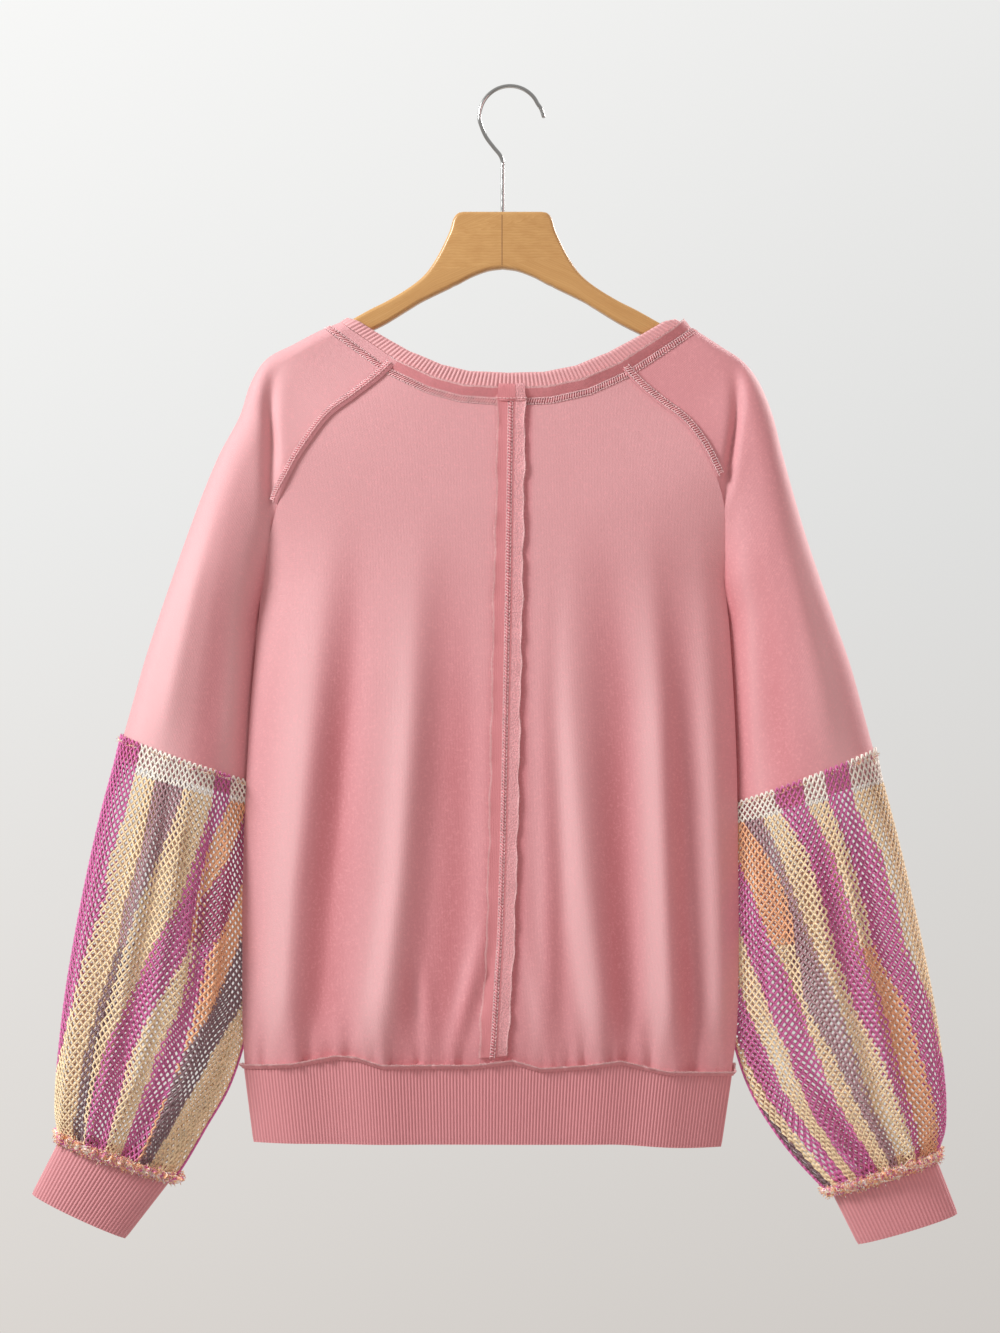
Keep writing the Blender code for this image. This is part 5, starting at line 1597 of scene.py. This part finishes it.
def build_neck_edge(parts, raw, thread, furrow_shade, fuzz):
    """The raw allowance that stands over the neck rib, and the cover stitch below it."""
    edge, below, rise, _, normals = neck_frame(parts)
    fold = parts["sleeves"]["left"].shape[1] // 2
    part = slice(fold, fold + parts["back"].shape[1] + fold - 3)
    lines = edge[part], rise[part], normals[part], unit(below - edge)[part]
    places, far = even(lines[0], NECK_EDGE_STEPS)
    line, way, out, under = [on_line(v, places) for v in lines]
    along_mm = np.linspace(0, far, NECK_EDGE_STEPS)
    ripple = 0.6 * np.sin(along_mm / 5.1) + 0.5 * np.sin(along_mm / 12.7 + 1)
    grid = []
    for drop, off in NECK_FLAP:
        base = line + (way * -drop if drop < 0 else under * drop)
        share = max(0.0, (3 - drop) / 5)
        grid.append(base + out * (ON_FLEECE + off + share * 0.5 * ripple)[:, None])
    grid = np.array(grid)
    normal = np.broadcast_to(unit(out), grid.shape)
    piece = wall("neck_seam_edge", grid, normal, EDGING, raw["flap"], uv=knit_uv(grid, 0))
    garment(piece, ["neck_raw_edge"])
    loose = fibres(
        grid[0], normal[0], unit(grid[0] - grid[1]), NECK_FUZZ, FUZZ_LENGTH, FUZZ_THICKNESS,
    )
    hair = add_sewing("neck_fuzz", [loose], [fuzz], "neck_raw_edge")
    path, up = neck_path(parts, NECK_SEWING_DOWN, FLEECE / 2)
    upper, _ = neck_path(parts, NECK_SEWING_TOWARDS, FLEECE / 2)
    sewn = cover_stitch(path, up, unit(upper - path), NECK_SEWING_WIDTH)
    sewing = add_sewing("neck_stitches", sewn, [thread, furrow_shade], "neck_raw_edge")


def build_hem_edge(parts, raw, fuzz):
    """The raw lip that stands out all round the hem seam."""
    top, outs = hem_outline(parts)
    count = HEM_EDGE_STEPS
    places, _ = even(top, count, True)
    line = on_line(top, places, True)
    out = unit(on_line(outs, places, True))
    turn = np.arange(count) * 2 * math.pi / count
    ripple = 0.7 * np.sin(61 * turn) + 0.5 * np.sin(97 * turn + 1) + 0.6 * np.sin(23 * turn + 2)
    grid = []
    for rise, off, sway in HEM_LIP:
        grid.append(line + out * (ON_RIB + off + sway * ripple)[:, None] + [0, 0, rise])
    grid = np.array(grid)
    normal = np.broadcast_to(out, grid.shape)
    piece = wall("hem_seam_edge", grid, normal, EDGING, raw["flap"], True)
    garment(piece, ["hem_raw_edge"])
    ring = np.concatenate([grid[0], grid[0][:1]])
    out = np.concatenate([out, out[:1]])
    above = np.zeros_like(out) + [0, 0, 1.0]
    loose = fibres(ring, out, above, HEM_FUZZ, FUZZ_LENGTH, FUZZ_THICKNESS)
    hair = add_sewing("hem_fuzz", [loose], [fuzz], "hem_raw_edge")


def build_frill(side, rows, frayed, yarns):
    """The net's frayed seam allowance, which stands up round the cuff."""
    grid = sleeve_grid(refined(rows, CUFF_FINENESS), *NET_STEPS)[:, :-1]
    up = outward(grid, True)
    count = FRILL_STEPS
    places, _ = even(grid[0], count, True)
    line = on_line(grid[0], places, True)
    out = unit(on_line(up[0], places, True))
    height = unit(on_line(grid[0] - grid[-1], places, True))
    turn = np.arange(count) * 2 * math.pi / count
    wave = 1.3 * np.sin(turn * 29) + 0.9 * np.sin(turn * 47 + 1) + 0.6 * np.sin(turn * 71 + 2)
    rings = []
    for rise, off, sway in FRILL_RINGS:
        rings.append(line + out * (ON_RIB + off + sway * wave)[:, None] + height * rise)
    rings = np.array(rings)
    normal = np.broadcast_to(out, rings.shape)
    piece = wall(f"cuff_fray_{side}", rings, normal, EDGING, frayed, True)
    garment(piece, [f"cuff_frill_{side}"])
    loose = []
    for ring in range(len(rings)):
        closed = np.concatenate([rings[ring], rings[ring][:1]])
        beside = np.concatenate([out, out[:1]])
        upward = np.concatenate([height, height[:1]])
        loose.append(fibres(closed, upward, beside, FRAY_COUNT, FRAY_LENGTH, FRAY_THICKNESS))
    points, faces = joined(loose)
    kinds = rng.integers(0, 5, len(faces) // FIBRE_FACES).repeat(FIBRE_FACES)
    finishes = [yarns[name] for name in ("peach", "cream", "pale", "magenta", "peach")]
    ends = add_mesh(f"fray_ends_{side}", points, faces, finishes, finish_of=kinds, smooth=180)
    garment(ends, [f"cuff_frill_{side}"])


# --- studio --------------------------------------------------------------------------------

SCALE = 0.82  # mm of the garment for each pixel of the picture
PICTURE_WIDTH, PICTURE_HEIGHT = 1000, 1333
HOOK_PX = (510, 88)  # where the origin is in the picture
CAMERA_DISTANCE = 2200.0
SENSOR = 36.0
WORLD_FRONT = 0.52  # the studio's brightness on the camera's side, next to the far side
WORLD_LOW, WORLD_HIGH = (0.94, 0.885, 0.835, 1), (0.895, 0.895, 0.885, 1)
FLOOR_Z, FLOOR_RADIUS, FLOOR_SIDES = -3.6, 3.0, 64  # in metres, clear of low cameras


def add_light(name, place, aim, size, power, colour):
    data = bpy.data.lights.new(name, "AREA")
    data.shape = "DISK"
    data.size = size
    data.energy = power
    data.color = colour
    light = bpy.data.objects.new(name, data)
    light.location = place
    direction = np.array(aim, float) - np.array(place, float)
    light.rotation_euler = Vector(direction).to_track_quat("-Z", "Y").to_euler()
    bpy.context.scene.collection.objects.link(light)


def build_camera(scene):
    camera = bpy.data.cameras.new("camera")
    camera.sensor_fit = "VERTICAL"
    camera.sensor_height = SENSOR
    camera.lens = SENSOR * CAMERA_DISTANCE / (PICTURE_HEIGHT * SCALE)
    camera.clip_end = 100
    seat = bpy.data.objects.new("camera", camera)
    x = (PICTURE_WIDTH / 2 - HOOK_PX[0]) * SCALE
    z = (HOOK_PX[1] - PICTURE_HEIGHT / 2) * SCALE
    seat.location = (x * MM, -CAMERA_DISTANCE * MM, z * MM)
    seat.rotation_euler = (math.pi / 2, 0, 0)
    scene.collection.objects.link(seat)
    scene.camera = seat


def build_world():
    """Soft light that is dimmer from the camera's side and warmer from below."""
    n = Nodes(bpy.data.worlds.new("studio"))
    way = n.add("ShaderNodeTexCoord").outputs["Generated"]
    x, y, z = n.add("ShaderNodeSeparateXYZ", {0: way}).outputs
    behind = n.spread(y, -0.4, 0.85, WORLD_FRONT, 1.0)
    aside = n.spread(x, -0.2, 0.2, 1.07, 0.93)
    high = n.spread(z, -0.26, 0.26, 0.70, 1.0)
    background = n.tree.nodes["Background"]
    n.put(n.mix(n.spread(z, -0.3, 0.05), WORLD_LOW, WORLD_HIGH), background.inputs["Color"])
    strength = n.math("MULTIPLY", n.math("MULTIPLY", behind, aside), high)
    n.put(strength, background.inputs["Strength"])
    return n.owner


def build_floor(scene):
    turns = np.linspace(0, 2 * math.pi, FLOOR_SIDES + 1)[:-1]
    ring = [(FLOOR_RADIUS * math.cos(a), FLOOR_RADIUS * math.sin(a), FLOOR_Z) for a in turns]
    mesh = bpy.data.meshes.new("floor")
    mesh.from_pydata(ring, [], [tuple(range(FLOOR_SIDES))])
    mesh.materials.append(plain_floor())
    floor = bpy.data.objects.new("floor", mesh)
    scene.collection.objects.link(floor)


def build_studio():
    scene = bpy.context.scene
    build_camera(scene)
    scene.world = build_world()
    add_light("key", (-2.0, -1.05, 0.85), (0, 0, -0.45), 0.8, 70.0, (0.94, 1.0, 1.0))
    add_light("fill", (1.9, -1.9, -0.3), (0, 0, -0.5), 1.8, 12.0, (1.0, 0.62, 0.62))
    add_light("back", (1.9, 1.3, 0.8), (0, 0, -0.45), 1.0, 52.0, (1.0, 0.99, 0.98))
    build_floor(scene)
    scene.view_settings.view_transform = "Standard"


# --- build ---------------------------------------------------------------------------------


def garment_parts():
    """The middle surfaces of the back, the front and the sleeves, with their normals."""
    sleeves = {
        "left": sleeve_grid(refined(LEFT_SLEEVE, SLEEVE_FINENESS), *SLEEVE_STEPS),
        "right": sleeve_grid(refined(RIGHT_SLEEVE, SLEEVE_FINENESS), *SLEEVE_STEPS),
    }
    parts = {"back": body_grid(-1), "front": body_grid(1), "sleeves": sleeves}
    ups = {"back": outward(parts["back"]), "front": outward(parts["front"])}
    ups.update({side: outward(grid) for side, grid in sleeves.items()})
    return {**parts, "ups": ups}


def main():
    build_studio()
    fleece = knitted_cloth("pink_fleece")
    raw = {"flap": raw_flap_cloth(), "strip": strip_cloth()}
    rib = ribbed_cloth("pink_rib", RIB_COLOUR)
    thread = yarn("pink_thread", THREAD_COLOUR)
    # painted shade under the cover stitches
    furrow_shade = yarn("stitch_furrow_shade", FURROW_SHADE_COLOUR)
    fuzz = yarn("pink_fuzz", FUZZ_COLOUR)
    frayed = frayed_cloth()
    yarns = {name: yarn(f"yarn_{name}", colour) for name, colour in STRIPE_COLOURS.items()}

    parts = garment_parts()
    build_arms(varnished_wood())
    build_joint(yarn("glue_line", (0.22, 0.10, 0.04)))
    build_hook(polished_steel())
    build_panels(parts, fleece)
    for side, net, stripes, edges, cuff in (
        ("left", LEFT_NET, LEFT_STRIPES, LEFT_STRIPE_EDGES, LEFT_CUFF),
        ("right", RIGHT_NET, RIGHT_STRIPES, RIGHT_STRIPE_EDGES, RIGHT_CUFF),
    ):
        build_net(side, net, stripes, edges, yarns)
        build_cuff(side, cuff, rib)
        build_frill(side, cuff, frayed, yarns)
    build_neck(parts, ribbed_cloth("neck_rib", NECK_RIB_LIT_COLOUR, 0.2))
    build_neck_edge(parts, raw, thread, furrow_shade, fuzz)
    build_hem(parts, rib)
    build_hem_edge(parts, raw, fuzz)
    build_centre_strip(parts, raw, thread, furrow_shade, fuzz)
    for side in RAGLAN_SEAMS:
        build_raglan_seam(side, parts, fleece, thread, furrow_shade)


main()
